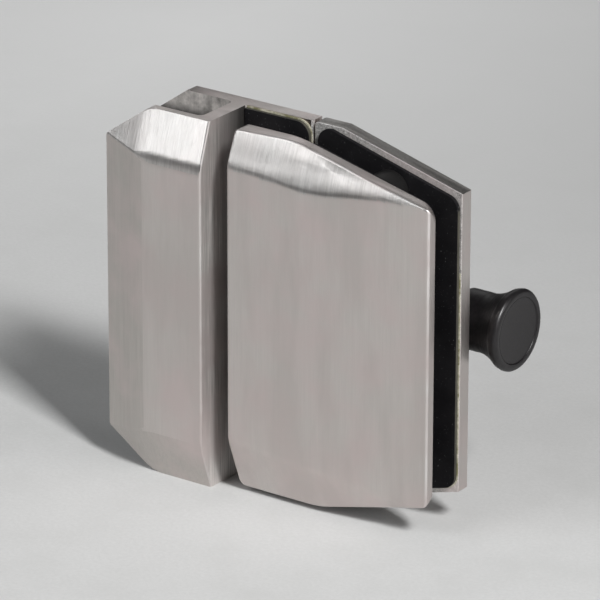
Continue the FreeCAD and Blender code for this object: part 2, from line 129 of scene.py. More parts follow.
@dataclass(frozen=True)
class Marks:
    """Soft random marks: how wide one is, and how many and how strong its finer layers are."""

    width: float
    detail: float = 2.0
    roughness: float = 0.5


class ShaderSheet:
    """A material's node tree with short calls for the nodes that the finishes use."""

    def __init__(self, name: str) -> None:
        """Starts an empty material with its shader.

        Args:
            name: the material's name.
        """
        self.material = bpy.data.materials.new(name)
        self.material.use_nodes = True
        self.tree = self.material.node_tree
        self.shader = self.tree.nodes["Principled BSDF"]
        self.object_place = self.tree.nodes.new("ShaderNodeTexCoord").outputs["Object"]

    def feed(self, node: bpy.types.Node, inputs: dict[str | int, object]) -> None:
        """Fills some of a node's inputs.

        Args:
            node: the node.
            inputs: the output, number, vector or colour for each input's name or number.
        """
        for key, value in inputs.items():
            socket = node.inputs[key]
            if isinstance(value, Socket):
                self.tree.links.new(value, socket)
            else:
                socket.default_value = (*value, 1.0) if socket.type == "RGBA" else value

    def node(self, kind: str, inputs: dict[str | int, object], output: str | int = 0,
             **settings: str) -> Socket:
        """Adds a node.

        Args:
            kind: its type, without the words that all types start with.
            inputs: what its inputs take.
            output: the name or number of the output that is wanted.
            settings: its other settings.

        Returns:
            The output.
        """
        node = self.tree.nodes.new("ShaderNode" + kind)
        for name, value in settings.items():
            setattr(node, name, value)
        self.feed(node, inputs)
        return node.outputs[output]

    def place(self, density: Point, centre: Point = (0.0, 0.0, 0.0)) -> Socket:
        """Object coordinates from a centre, with so many pattern units in a metre."""
        shift = [-c * d for c, d in zip(centre, density)]
        return self.node("Mapping", {"Vector": self.object_place, "Scale": density,
                                     "Location": shift})

    def marks(self, marks: Marks, grain: Grain = Grain.EVEN) -> Socket:
        """Soft random marks between 0 and 1 that run along a grain."""
        where = self.place(tuple(share / (marks.width * MM) for share in grain.value))
        return self.node("TexNoise", {"Vector": where, "Scale": 1.0, "Detail": marks.detail,
                                      "Roughness": marks.roughness})

    def coordinate(self, axis: str) -> Socket:
        """Where a point of the surface lies along one axis, in metres."""
        return self.node("SeparateXYZ", {"Vector": self.object_place}, axis)

    def stretch(self, value: Socket, reach: Range, result: Range = (0.0, 1.0)) -> Socket:
        """Maps one range of a value to another, clamped."""
        return self.node("MapRange", {"Value": value, "From Min": reach[0], "From Max": reach[1],
                                      "To Min": result[0], "To Max": result[1]})

    def blend(self, share: Socket, first: object, second: object) -> Socket:
        """Mixes two colours, of which the second shows where the share is 1."""
        return self.node("Mix", {"Factor": share, 6: first, 7: second}, 2, data_type="RGBA")

    def maths(self, operation: str, first: object, second: object = 0.0) -> Socket:
        """One sum of two values."""
        return self.node("Math", {0: first, 1: second}, operation=operation)

    def mixed(self, first: Socket, second: Socket, share: float = 0.5) -> Socket:
        """Two patterns added by weight, the second's weight being the share."""
        return self.maths("ADD", self.maths("MULTIPLY", first, 1.0 - share),
                          self.maths("MULTIPLY", second, share))

    def relief(self, height: Socket, depth: float, under: Socket | None = None) -> Socket:
        """Turns a pattern into relief, so many millimetres deep, on top of another relief."""
        lower = {} if under is None else {"Normal": under}
        return self.node("Bump", {"Height": height, "Distance": depth * MM, **lower})

    def finish(self, colour: Socket, roughness: object, normal: Socket,
               **others: object) -> Material:
        """Joins colour, roughness, relief and other inputs to the shader.

        Args:
            colour: the colour output.
            roughness: number or value output.
            normal: the relief.
            others: numbers or value outputs for other inputs, such as Metallic.

        Returns:
            The finished material.
        """
        self.feed(self.shader, {"Base Color": colour, "Roughness": roughness, "Normal": normal})
        self.feed(self.shader, {name.replace("_", " "): value for name, value in others.items()})
        return self.material


@dataclass(frozen=True)
class BrushedSteel:
    """Satin stainless steel with fine brush strokes and a faint cloudy mottle.

    Painted shade darkens it from one depth behind the strike's front to another, where it has a
    reach, as the cover shades the gap; the shade gets less from a given height down to the floor,
    where the steel is also made less metallic.
    """

    name: str = "brushed_steel"
    slot: Slot = Slot.SATIN_STEEL
    light: Colour = (0.675, 0.634, 0.609)
    dark: Colour = (0.598, 0.560, 0.537)
    contrast: Range = (0.3, 0.7)
    warm: Colour = (0.655, 0.572, 0.558)
    warm_reach: Range = (0.38, 0.66)
    warmth: float = 0.9
    band: Colour = (0.530, 0.490, 0.468)
    band_reach: Range = (0.42, 0.62)
    banding: float = 0.4
    metallic: float = 1.0
    roughness: float = 0.29
    roughness_spread: float = 0.06
    anisotropy: float = 0.8
    grain: Grain = Grain.UPRIGHT
    strokes: Marks = Marks(0.22, 3.0, 0.6)
    streaks: Marks = Marks(0.9, 4.0, 0.65)
    streak_reach: Range = (0.3, 0.7)
    clouds: Marks = Marks(16.0, 3.0, 0.55)
    bands: Marks = Marks(8.0, 3.0)
    ripples: Marks = Marks(0.5, 3.0, 0.6)
    stroke_depth: float = 0.006
    ripple_depth: float = 0.07
    hollow_depth: float = 0.12
    # Painted shade towards the back of the gap between strike and cover: its colour, its depths,
    # and the height below which it fades.
    gap_shade_tone: Colour = (0.10, 0.095, 0.09)
    gap_shade_reach: Range | None = None
    shade_fade_height: float = 32.0
    foot_shade: float = 0.25
    foot_metallic: float = 0.35

    def paint_gap_shade(self, sheet: ShaderSheet, tone: Socket) -> tuple[Socket, Socket]:
        """Paints shade on the steel towards the back of the gap, less so near the floor, where it
        is also made less metallic.

        Args:
            sheet: the material's nodes.
            tone: the clean colour.

        Returns:
            The colour and how metallic it is.
        """
        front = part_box("strike_body")[0].y
        reach = tuple(front + depth * MM for depth in self.gap_shade_reach)
        up = sheet.stretch(sheet.coordinate("Z"), (0.0, self.shade_fade_height * MM))
        gap_shade = sheet.maths("MULTIPLY", sheet.stretch(sheet.coordinate("Y"), reach),
                           sheet.stretch(up, (0.0, 1.0), (self.foot_shade, 1.0)))
        return (sheet.blend(gap_shade, tone, self.gap_shade_tone),
                sheet.stretch(up, (0.0, 1.0), (self.foot_metallic, self.metallic)))

    def build(self) -> Material:
        """Makes the material.

        Returns:
            The finished material.
        """
        sheet = ShaderSheet(self.name)
        strokes, streaks = (sheet.marks(kind, self.grain) for kind in (self.strokes, self.streaks))
        clouds = sheet.marks(self.clouds)
        both = sheet.stretch(sheet.mixed(strokes, streaks), self.contrast)
        tone = sheet.blend(both, self.dark, self.light)
        warmth = sheet.stretch(clouds, self.warm_reach, (0.0, self.warmth))
        tone = sheet.blend(warmth, tone, self.warm)
        relief = sheet.relief(clouds, self.hollow_depth)
        if self.grain in RIPPLE_GRAINS:
            bands = sheet.marks(self.bands, Grain.BANDS)
            banding = sheet.stretch(bands, self.band_reach, (0.0, self.banding))
            tone = sheet.blend(banding, tone, self.band)
            ripples = sheet.marks(self.ripples, RIPPLE_GRAINS[self.grain])
            relief = sheet.relief(ripples, self.ripple_depth, relief)
        metallic = self.metallic
        # Painted shade towards the back of the gap, where a reach is given.
        if self.gap_shade_reach:
            tone, metallic = self.paint_gap_shade(sheet, tone)
        gloss = sheet.stretch(streaks, self.streak_reach,
                              (self.roughness, self.roughness + self.roughness_spread))
        return sheet.finish(tone, gloss, sheet.relief(strokes, self.stroke_depth, relief),
                            Metallic=metallic, Anisotropic=self.anisotropy)


@dataclass(frozen=True)
class CastSteel:
    """Rough cast steel inside the glass channel: clouded, faintly streaked, with painted shade
    deeper in.
    """

    name: str = "cast_steel"
    slot: Slot = Slot.SATIN_STEEL
    light: Colour = (0.80, 0.75, 0.715)
    dark: Colour = (0.30, 0.28, 0.265)
    contrast: Range = (0.36, 0.64)
    # Painted shade: the colour that the channel darkens to deeper below its top and above its
    # foot, between the lit and the dark depth.
    depth_shade: Colour = (0.045, 0.043, 0.042)
    lit_depth: float = 3.9
    dark_depth: float = 7.5
    metallic: float = 0.6
    roughness: float = 0.5
    clouds: Marks = Marks(4.0, 4.0, 0.6)
    streaks: Marks = Marks(0.5, 4.0, 0.65)
    streaking: float = 0.2
    pits: Marks = Marks(0.5, 4.0, 0.6)
    pit_depth: float = 0.06

    def build(self) -> Material:
        """Makes the material.

        Returns:
            The finished material.
        """
        sheet = ShaderSheet(self.name)
        both = sheet.mixed(sheet.marks(self.clouds), sheet.marks(self.streaks, Grain.UPRIGHT),
                           self.streaking)
        tone = sheet.blend(sheet.stretch(both, self.contrast), self.dark, self.light)
        # Painted shade, darker deeper below the channel's top and above its foot.
        foot, top = (corner.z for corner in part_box("strike_body"))
        above_middle = sheet.maths("SUBTRACT", sheet.coordinate("Z"), (foot + top) / 2)
        half = (top - foot) / 2
        depth_shade = sheet.stretch(sheet.maths("ABSOLUTE", above_middle),
                             (half - self.dark_depth * MM, half - self.lit_depth * MM), (1.0, 0.0))
        relief = sheet.relief(sheet.marks(self.pits), self.pit_depth)
        return sheet.finish(sheet.blend(depth_shade, tone, self.depth_shade), self.roughness, relief,
                            Metallic=self.metallic)


@dataclass(frozen=True)
class SoftSkin:
    """Rubber, nylon or dried adhesive: patches of two tones, caught dust and a fine skin."""

    name: str = "gasket_rubber"
    slot: Slot = Slot.GASKET_RUBBER
    tone: Colour = (0.0047, 0.0043, 0.0054)
    patch: Colour = (0.011, 0.0102, 0.0115)
    patches: Marks = Marks(9.0, 3.0)
    patch_reach: Range = (0.35, 0.7)
    dust: Colour | None = (0.30, 0.30, 0.30)
    specks: Marks = Marks(0.5, 3.0, 0.75)
    speck_reach: Range = (0.66, 0.76)
    roughness: float = 0.7
    specular: float = 0.18
    skin: Marks = Marks(0.25)
    skin_depth: float = 0.015

    def build(self) -> Material:
        """Makes the material.

        Returns:
            The finished material.
        """
        sheet = ShaderSheet(self.name)
        tone = sheet.blend(sheet.stretch(sheet.marks(self.patches), self.patch_reach),
                           self.tone, self.patch)
        if self.dust:
            specks = sheet.stretch(sheet.marks(self.specks), self.speck_reach)
            tone = sheet.blend(specks, tone, self.dust)
        relief = sheet.relief(sheet.marks(self.skin), self.skin_depth)
        return sheet.finish(tone, self.roughness, relief, Specular_IOR_Level=self.specular)


@dataclass(frozen=True)
class CharcoalCoat:
    """Satin charcoal coat over turned metal, with faint lathe rings."""

    name: str = "charcoal_coat"
    slot: Slot = Slot.CHARCOAL_COAT
    tone: Colour = (0.0105, 0.0092, 0.0101)
    light: Colour = (0.017, 0.0149, 0.0161)
    contrast: Range = (0.35, 0.7)
    specks: Marks = Marks(0.8, 3.0)
    metallic: float = 0.35
    roughness: float = 0.34
    roughness_spread: Range = (-0.05, 0.08)
    specular: float = 0.64
    ring_pitch: float = 0.45
    ring_depth: float = 0.008
    ring_scale: float = 0.33
    ring_wobble: float = 0.6
    ring_detail: float = 2.0
    ring_reach: Range = (0.2, 0.8)

    def build(self) -> Material:
        """Makes the material.

        Returns:
            The finished material.
        """
        sheet = ShaderSheet(self.name)
        low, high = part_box("knob")
        density = 1.0 / (self.ring_pitch * MM)
        turned = sheet.node("TexWave",
                            {"Vector": sheet.place((density,) * 3, tuple((low + high) / 2)),
                             "Scale": self.ring_scale, "Distortion": self.ring_wobble,
                             "Detail": self.ring_detail},
                            "Fac", wave_type="RINGS", rings_direction="X")
        rings = sheet.mixed(turned, sheet.marks(Marks(self.ring_pitch), Grain.ROUND_THE_BOLT))
        tone = sheet.blend(sheet.stretch(sheet.marks(self.specks), self.contrast),
                           self.tone, self.light)
        gloss = sheet.stretch(rings, self.ring_reach,
                              tuple(self.roughness + more for more in self.roughness_spread))
        return sheet.finish(tone, gloss, sheet.relief(rings, self.ring_depth),
                            Metallic=self.metallic, Specular_IOR_Level=self.specular)


@dataclass(frozen=True)
class StudioPaper:
    """Matt pale paper of the floor and backdrop with painted light and shade; reaches in metres.
    """

    name: str = "studio_paper"
    tone: Colour = (0.615, 0.615, 0.61)
    shade: Colour = (0.56, 0.56, 0.555)
    fibre: Marks = Marks(1.2, 4.0, 0.7)
    fibre_contrast: Range = (0.3, 0.7)
    fibre_depth: float = 0.03
    stain: Colour = (0.53, 0.53, 0.522)
    stains: Marks = Marks(28.0, 5.0, 0.65)
    stain_contrast: Range = (0.45, 0.7)
    staining: float = 0.5
    # Painted light towards the back left, painted shade towards the back right and far away.
    painted_light_back_left: Colour = (0.86, 0.86, 0.855)
    painted_shade_back_right: Colour = (0.37, 0.37, 0.368)
    across_reach: Range = (-0.26, 0.02)
    back_reach: Range = (0.02, 0.30)
    farness: float = 0.8
    painted_far_shade: Colour = (0.36, 0.36, 0.357)
    dim_reach: Range = (0.42, 0.95)
    roughness: float = 0.9

    def build(self) -> Material:
        """Makes the material.

        Returns:
            The finished material.
        """
        sheet = ShaderSheet(self.name)
        fibre = sheet.marks(self.fibre)
        tone = sheet.blend(sheet.stretch(fibre, self.fibre_contrast), self.shade, self.tone)
        stains = sheet.stretch(sheet.marks(self.stains), self.stain_contrast, (0.0, self.staining))
        tone = sheet.blend(stains, tone, self.stain)
        # Painted light and shade: lighter to the back left, darker to the back right and far off.
        across, back = sheet.coordinate("X"), sheet.coordinate("Y")
        far = sheet.blend(sheet.stretch(across, self.across_reach), self.painted_light_back_left, self.painted_shade_back_right)
        tone = sheet.blend(sheet.stretch(back, self.back_reach, (0.0, self.farness)), tone, far)
        away = sheet.maths("ADD", *(sheet.maths("MULTIPLY", way, way) for way in (across, back)))
        dimming = sheet.stretch(away, tuple(reach ** 2 for reach in self.dim_reach))
        return sheet.finish(sheet.blend(dimming, tone, self.painted_far_shade), self.roughness,
                            sheet.relief(fibre, self.fibre_depth))


class Look(Enum):
    """The latch's finishes."""

    STEEL = BrushedSteel()
    # The gate-side wall, with painted shade towards the back of the gap.
    WALL = BrushedSteel("wall_steel", light=(0.97, 0.935, 0.90), dark=(0.52, 0.495, 0.475),
                        contrast=(0.4, 0.6), metallic=0.78, roughness=0.5, anisotropy=0.75,
                        gap_shade_reach=(5.0, 19.0))
    COARSE = BrushedSteel("coarse_brushed_steel", light=(0.715, 0.69, 0.672),
                          dark=(0.475, 0.455, 0.44), contrast=(0.36, 0.64), warmth=0.2,
                          banding=0.2, grain=Grain.DOWN_THE_FACET, ripple_depth=0.05)
    # Painted shade: a darker copy of the steel for forward faces that turn to the left or down.
    SIDE = BrushedSteel("side_steel_painted_shade", light=(0.615, 0.582, 0.552),
                        dark=(0.490, 0.462, 0.437), banding=0.2)
    # Painted shade: much darker steel for the back plate's top faces.
    ROLLED = BrushedSteel("plate_top_painted_shade", light=(0.40, 0.385, 0.37), dark=(0.22, 0.21, 0.20),
                          warmth=0.0, banding=0.0)
    # Painted highlight: lighter, rougher steel without grain on the rounded edges towards the
    # front.
    EDGE_HIGHLIGHT = BrushedSteel("edge_highlight_steel", light=(0.92, 0.90, 0.885), dark=(0.80, 0.78, 0.765),
                        metallic=0.88, roughness=0.42, anisotropy=0.0)
    GROUND = BrushedSteel("ground_steel", light=(0.95, 0.93, 0.90), dark=(0.05, 0.048, 0.047),
                          metallic=0.35, anisotropy=0.0, grain=Grain.EVEN,
                          strokes=Marks(0.35, 3.0, 0.6))
    CAST = CastSteel()
    MILLED = BrushedSteel("milled_steel", Slot.PLAIN_STEEL, (0.56, 0.55, 0.54),
                          (0.44, 0.43, 0.42), anisotropy=0.0, grain=Grain.EVEN,
                          strokes=Marks(0.5, 3.0, 0.6))
    TURNED = BrushedSteel("turned_steel", Slot.PLAIN_STEEL, roughness=0.26, anisotropy=0.0,
                          grain=Grain.ROUND_THE_BOLT, strokes=Marks(0.25, 3.0, 0.6))
    WIRE = BrushedSteel("spring_wire", Slot.SPRING_STEEL, (0.42, 0.42, 0.43),
                        (0.28, 0.28, 0.29), anisotropy=0.0, grain=Grain.EVEN)
    RUBBER = SoftSkin()
    # Lighter, olive cut edge: adhesive and dust on it, and painted light on the side faces.
    CUT_RUBBER = SoftSkin("gasket_cut_edge", tone=(0.045, 0.043, 0.036),
                          patch=(0.085, 0.08, 0.062), roughness=0.8)
    ADHESIVE = SoftSkin("adhesive", tone=(0.20, 0.19, 0.10), patch=(0.60, 0.57, 0.47),
                        patches=Marks(5.0, 4.0, 0.7), patch_reach=(0.42, 0.6), dust=None,
                        roughness=0.4, specular=0.5, skin=Marks(5.0, 4.0, 0.7), skin_depth=0.05)
    NYLON = SoftSkin("black_nylon", Slot.BLACK_NYLON, tone=(0.006, 0.006, 0.006),
                     patch=(0.016, 0.015, 0.015), patches=Marks(0.3, 3.0),
                     patch_reach=(0.3, 0.75), dust=None, roughness=0.45, specular=0.2,
                     skin=Marks(0.3, 3.0), skin_depth=0.01)
    CHARCOAL = CharcoalCoat()
    DULL_CHARCOAL = CharcoalCoat("charcoal_coat_neck", tone=(0.010, 0.0092, 0.0098),
                                 light=(0.017, 0.0155, 0.0165), roughness=0.42, specular=0.22)

    @cache
    def material(self) -> Material:
        """The finish's material, made at its first use."""
        return self.value.build()


def edges_along(axis: int, places: Sequence[Place]) -> EdgeTest:
    """Picks the edges that run along one axis at some places across it.

    Args:
        axis: 1 for Y or 2 for Z.
        places: the two other coordinates of each place, in metres.

    Returns:
        The test for an edge.
    """
    others = [way for way in range(3) if way != axis]

    def runs_there(edge: bmesh.types.BMEdge) -> bool:
        """Whether both ends of an edge lie at one of the places."""
        return any(all(abs(vertex.co[way] - spot) < NEAR for vertex in edge.verts
                       for way, spot in zip(others, place)) for place in places)

    return runs_there


def edge_at(middle: Vector) -> EdgeTest:
    """The test that picks the edge whose middle lies at a point."""
    return lambda edge: ((edge.verts[0].co + edge.verts[1].co) / 2 - middle).length < NEAR


class Piece:
    """A mesh object under construction, shaped with edit operators."""

    def __init__(self, name: str, primitive: Callable[..., set[str]], **settings: object) -> None:
        """Starts a piece from a primitive, with nothing else selected.

        Args:
            name: the piece's name.
            primitive: the operator that adds the primitive.
            settings: the operator's settings.
        """
        bpy.ops.object.select_all(action="DESELECT")
        primitive(**settings)
        self.obj = bpy.context.object
        self.obj.name = self.obj.data.name = name

    @classmethod
    def drill(cls, radius: float, start: Point, length: float,
              end_radius: float | None = None) -> "Piece":
        """Makes a cutter for a round hole along Y, in metres.

        Args:
            radius: its radius at the front.
            start: the middle of its front end.
            length: its length.
            end_radius: its radius at the back, where it is a cone.

        Returns:
            The new piece.
        """
        far = radius if end_radius is None else end_radius
        piece = cls("drill", bpy.ops.mesh.primitive_cone_add, vertices=48, radius1=radius,
                    radius2=far, depth=length, rotation=(-math.pi / 2, 0.0, 0.0),
                    location=Vector(start) + Vector((0.0, length / 2, 0.0)))
        piece.settle()
        return piece

    @classmethod
    def copy_of(cls, name: str, node: str) -> "Piece":
        """Starts a piece from a copy of one of the frame's nodes, with its triangles joined.

        Args:
            name: the piece's name.
            node: the node.

        Returns:
            The new piece.
        """
        piece = cls(name, bpy.ops.mesh.primitive_plane_add, size=1.0)
        old = piece.obj.data
        piece.obj.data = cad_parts[node].data.copy()
        piece.obj.data.name = name
        piece.obj.data.materials.clear()
        bpy.data.meshes.remove(old)
        with piece.editing():
            bpy.ops.mesh.customdata_custom_splitnormals_clear()
            bpy.ops.mesh.remove_doubles(threshold=2e-6)
            bpy.ops.mesh.dissolve_limited(angle_limit=math.radians(0.4))
        return piece

    def settle(self, scale: Sequence[float] = (1.0, 1.0, 1.0)) -> None:
        """Scales the piece and moves its place, turn and scale into its mesh."""
        self.obj.scale = scale
        bpy.ops.object.transform_apply(location=True, rotation=True, scale=True)

    @contextmanager
    def editing(self, wanted: EdgeTest | None = None) -> Iterator[bmesh.types.BMesh]:
        """Opens the piece in edit mode with all or some of it selected, and closes it after.

        Args:
            wanted: the test for the edges to select, where it isn't all of them.

        Yields:
            The mesh.
        """
        self.choose()
        bpy.ops.object.mode_set(mode="EDIT")
        bpy.ops.mesh.select_mode(type="EDGE")
        bpy.ops.mesh.select_all(action="DESELECT" if wanted else "SELECT")
        mesh = bmesh.from_edit_mesh(self.obj.data)
        for edge in filter(wanted, mesh.edges) if wanted else ():
            edge.select_set(True)
        bmesh.update_edit_mesh(self.obj.data)
        yield mesh
        bpy.ops.object.mode_set(mode="OBJECT")

    def choose(self) -> None:
        """Makes the piece the only selected object."""
        bpy.ops.object.select_all(action="DESELECT")
        self.obj.select_set(True)
        bpy.context.view_layer.objects.active = self.obj

    def cut(self, point: Sequence[float], normal: Sequence[float]) -> None:
        """Cuts away what lies beyond a plane, towards its normal, and closes the cut."""
        with self.editing():
            bpy.ops.mesh.bisect(plane_co=point, plane_no=Vector(normal).normalized(),
                                use_fill=True, clear_outer=True, threshold=1e-7)

    def extrude(self, move: Sequence[float], wanted: EdgeTest | None = None) -> None:
        """Extrudes all of the piece, or the edges that pass a test, by a distance."""
        with self.editing(wanted):
            bpy.ops.mesh.extrude_region_move(TRANSFORM_OT_translate={"value": move})

    def round_edges(self, wanted: EdgeTest, radius: float, segments: int) -> None:
        """Rounds the edges that pass a test, to a radius in metres."""
        with self.editing(wanted):
            bpy.ops.mesh.bevel(offset=radius, segments=segments, affect="EDGES",
                               clamp_overlap=True)

    def subtract(self, cutters: Sequence["Piece"]) -> None:
        """Cuts other pieces out of this one and deletes them.

        Args:
            cutters: the pieces.
        """
        for cutter in cutters:
            self.change("BOOLEAN", operation="DIFFERENCE", solver="EXACT", object=cutter.obj)
            bpy.data.objects.remove(cutter.obj, do_unlink=True)

    def change(self, kind: str, **settings: object) -> None:
        """Adds one modifier and applies it.

        Args:
            kind: the modifier's type.
            settings: its settings by name.
        """
        modifier = self.obj.modifiers.new(kind.lower(), kind)
        for name, value in settings.items():
            setattr(modifier, name, value)
        self.choose()
        bpy.ops.object.modifier_apply(modifier=modifier.name)

    def face_outwards(self) -> None:
        """Joins the corners that meet and turns the faces outwards."""
        with self.editing():
            bpy.ops.mesh.remove_doubles(threshold=1e-6)
            bpy.ops.mesh.normals_make_consistent(inside=False)

    def soften(self, width: float, segments: int = 3, angle: float = 40.0) -> None:
        """Breaks all sharp edges and smooths the shading between them.

        Args:
            width: the broken edge's width, in millimetres.
            segments: how many steps it has.
            angle: the least angle between faces that counts as sharp, in degrees.
        """
        self.face_outwards()
        if width:
            self.change("BEVEL", width=width * MM, segments=segments, limit_method="ANGLE",
                        angle_limit=math.radians(angle), use_clamp_overlap=True,
                        miter_outer="MITER_ARC")
        self.smooth()

    def smooth(self, angle: float = 36.0) -> None:
        """Smooths the shading across soft edges and keeps the broad faces flat.

        Args:
            angle: the least angle that stays a sharp edge, in degrees.
        """
        self.choose()
        bpy.ops.object.shade_smooth_by_angle(angle=math.radians(angle))
        self.change("WEIGHTED_NORMAL", mode="FACE_AREA", weight=80, keep_sharp=True)

    def dress(self, look: Look, body: Body, nodes: Sequence[str] = (),
              pick: Callable[[Vector, Vector], Look] | None = None) -> None:
        """Gives the piece its materials and body, and logs it.

        Args:
            look: its main finish.
            body: the body that it rides on.
            nodes: the nodes of the frame that it stands for.
            pick: which finish a face takes, from its middle and normal.
        """
        looks = [look]
        for face in self.obj.data.polygons if pick else ():
            chosen = pick(face.center, face.normal)
            if chosen not in looks:
                looks.append(chosen)
            face.material_index = looks.index(chosen)
        for chosen in looks:
            self.obj.data.materials.append(chosen.material())
        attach(self.obj, body.value)
        if nodes:
            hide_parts(*nodes)
        LOG.info("%s: %d faces on %s", self.obj.name, len(self.obj.data.polygons), body.value)


def front_look(normal: Vector) -> Look:
    """How a steel face looks from the way that it faces, on the front pieces.

    Args:
        normal: the face's normal.

    Returns:
        Lighter, as a painted highlight, where it belongs to an edge towards the front, coarser on
        a top facet, else plain.
    """
    if EDGE_HIGHLIGHT[0] < normal.y < EDGE_HIGHLIGHT[1]:
        return Look.EDGE_HIGHLIGHT
    return Look.COARSE if normal.y < FORWARD and normal.z > TOP_FACET else Look.STEEL


def ramp(past: float, soft: float) -> float:
    """A bend that starts softly: 0 before it, the distance after it, and a curve between.

    Args:
        past: how far past the bend a place lies.
        soft: how far the curve reaches each way.

    Returns:
        How far the place has risen along the bent line.
    """
    if past >= soft:
        return past
    return (past + soft) ** 2 / (4 * soft) if past > -soft else 0.0


def arc_dip(inside: float, radius: float) -> float:
    """How far a rounded corner lies inside the square one, at one place.

    Args:
        inside: the distance from the corner's own edge.
        radius: the corner's radius.

    Returns:
        The dip across that edge.
    """
    if inside >= radius:
        return 0.0
    return radius - math.sqrt(max(radius ** 2 - (radius - inside) ** 2, 0.0))


@dataclass(frozen=True)
class BentLine:
    """A line that bends softly; each bend has its place, its turn and its curve's reach."""

    start: float
    slope: float = 0.0
    bends: tuple[Point, ...] = ()

    def at(self, x: float) -> float:
        """The line's height at a place along it."""
        return self.start + self.slope * x + sum(turn * ramp(x - place, soft)
                                                 for place, turn, soft in self.bends)


@dataclass(frozen=True)
class TaperedPlate:
    """Plate whose top and bottom run level to a bend and then taper to the right, in metres."""

    bend: float
    drop: float
    left_radius: float
    right_radius: float

    def build(self, name: str, low: Vector, high: Vector, grow: float = 0.0) -> Piece:
        """Makes the plate.

        Args:
            name: the piece's name.
            low: lowest corner of its box.
            high: highest corner of its box.
            grow: how far its outline stands out all round.

        Returns:
            The new piece.
        """
        low, high = low - Vector((grow, 0.0, grow)), high + Vector((grow, 0.0, grow))
        piece = Piece(name, bpy.ops.mesh.primitive_cube_add, size=1.0, location=(low + high) / 2)
        piece.settle(high - low)
        for up, end in ((1.0, high.z), (-1.0, low.z)):
            if self.drop:
                piece.cut((self.bend, 0.0, end), (self.drop, 0.0, up * (high.x - self.bend)))
        for x, drop, radius in ((low.x, 0.0, self.left_radius),
                                (high.x, self.drop, self.right_radius)):
            if radius:
                corners = edges_along(1, [(x, low.z + drop), (x, high.z - drop)])
                piece.round_edges(corners, radius + grow, 8)
        return piece


@dataclass
class Gasket:
    """A flat gasket, and the film of dried adhesive that shows round its edge."""

    name: str
    node: str
    body: Body
    shape: TaperedPlate
    low: Vector
    high: Vector
    holes: Callable[[float, float], list[Piece]] = lambda front, back: []
    adhesive: str = ""
    overhang: float = 0.0
    adhesive_top: float = math.inf
    film: float = 0.25
    edge: float = 0.15
    film_edge: float = 0.08
    face_depth: float = 0.3

    def look(self, middle: Vector, _: Vector) -> Look:
        """Plain on its front; adhesive, dust and painted light on its cut edge where that shows.
        """
        behind = middle.y > self.low.y + self.face_depth * MM
        return Look.CUT_RUBBER if behind and middle.z < self.adhesive_top * MM else Look.RUBBER

    def build(self) -> None:
        """Makes and dresses the gasket and its adhesive."""
        back = self.high.y - (self.film * MM if self.adhesive else 0.0)
        cut_from, cut_to = self.low.y - MM, self.high.y + MM
        pad = self.shape.build(self.name, self.low, Vector((self.high.x, back, self.high.z)))
        pad.subtract(self.holes(cut_from, cut_to))
        pad.soften(self.edge, 2)
        pad.dress(Look.RUBBER, self.body, (self.node,), self.look if self.adhesive else None)
        if self.adhesive:
            film = self.shape.build(self.adhesive, Vector((self.low.x, back, self.low.z)),
                                    self.high, self.overhang * MM)
            if self.adhesive_top < math.inf:
                film.cut((0.0, 0.0, self.adhesive_top * MM), (0.0, 0.0, 1.0))
            film.subtract(self.holes(cut_from, cut_to))
            film.soften(self.film_edge, 1)
            film.dress(Look.ADHESIVE, self.body)


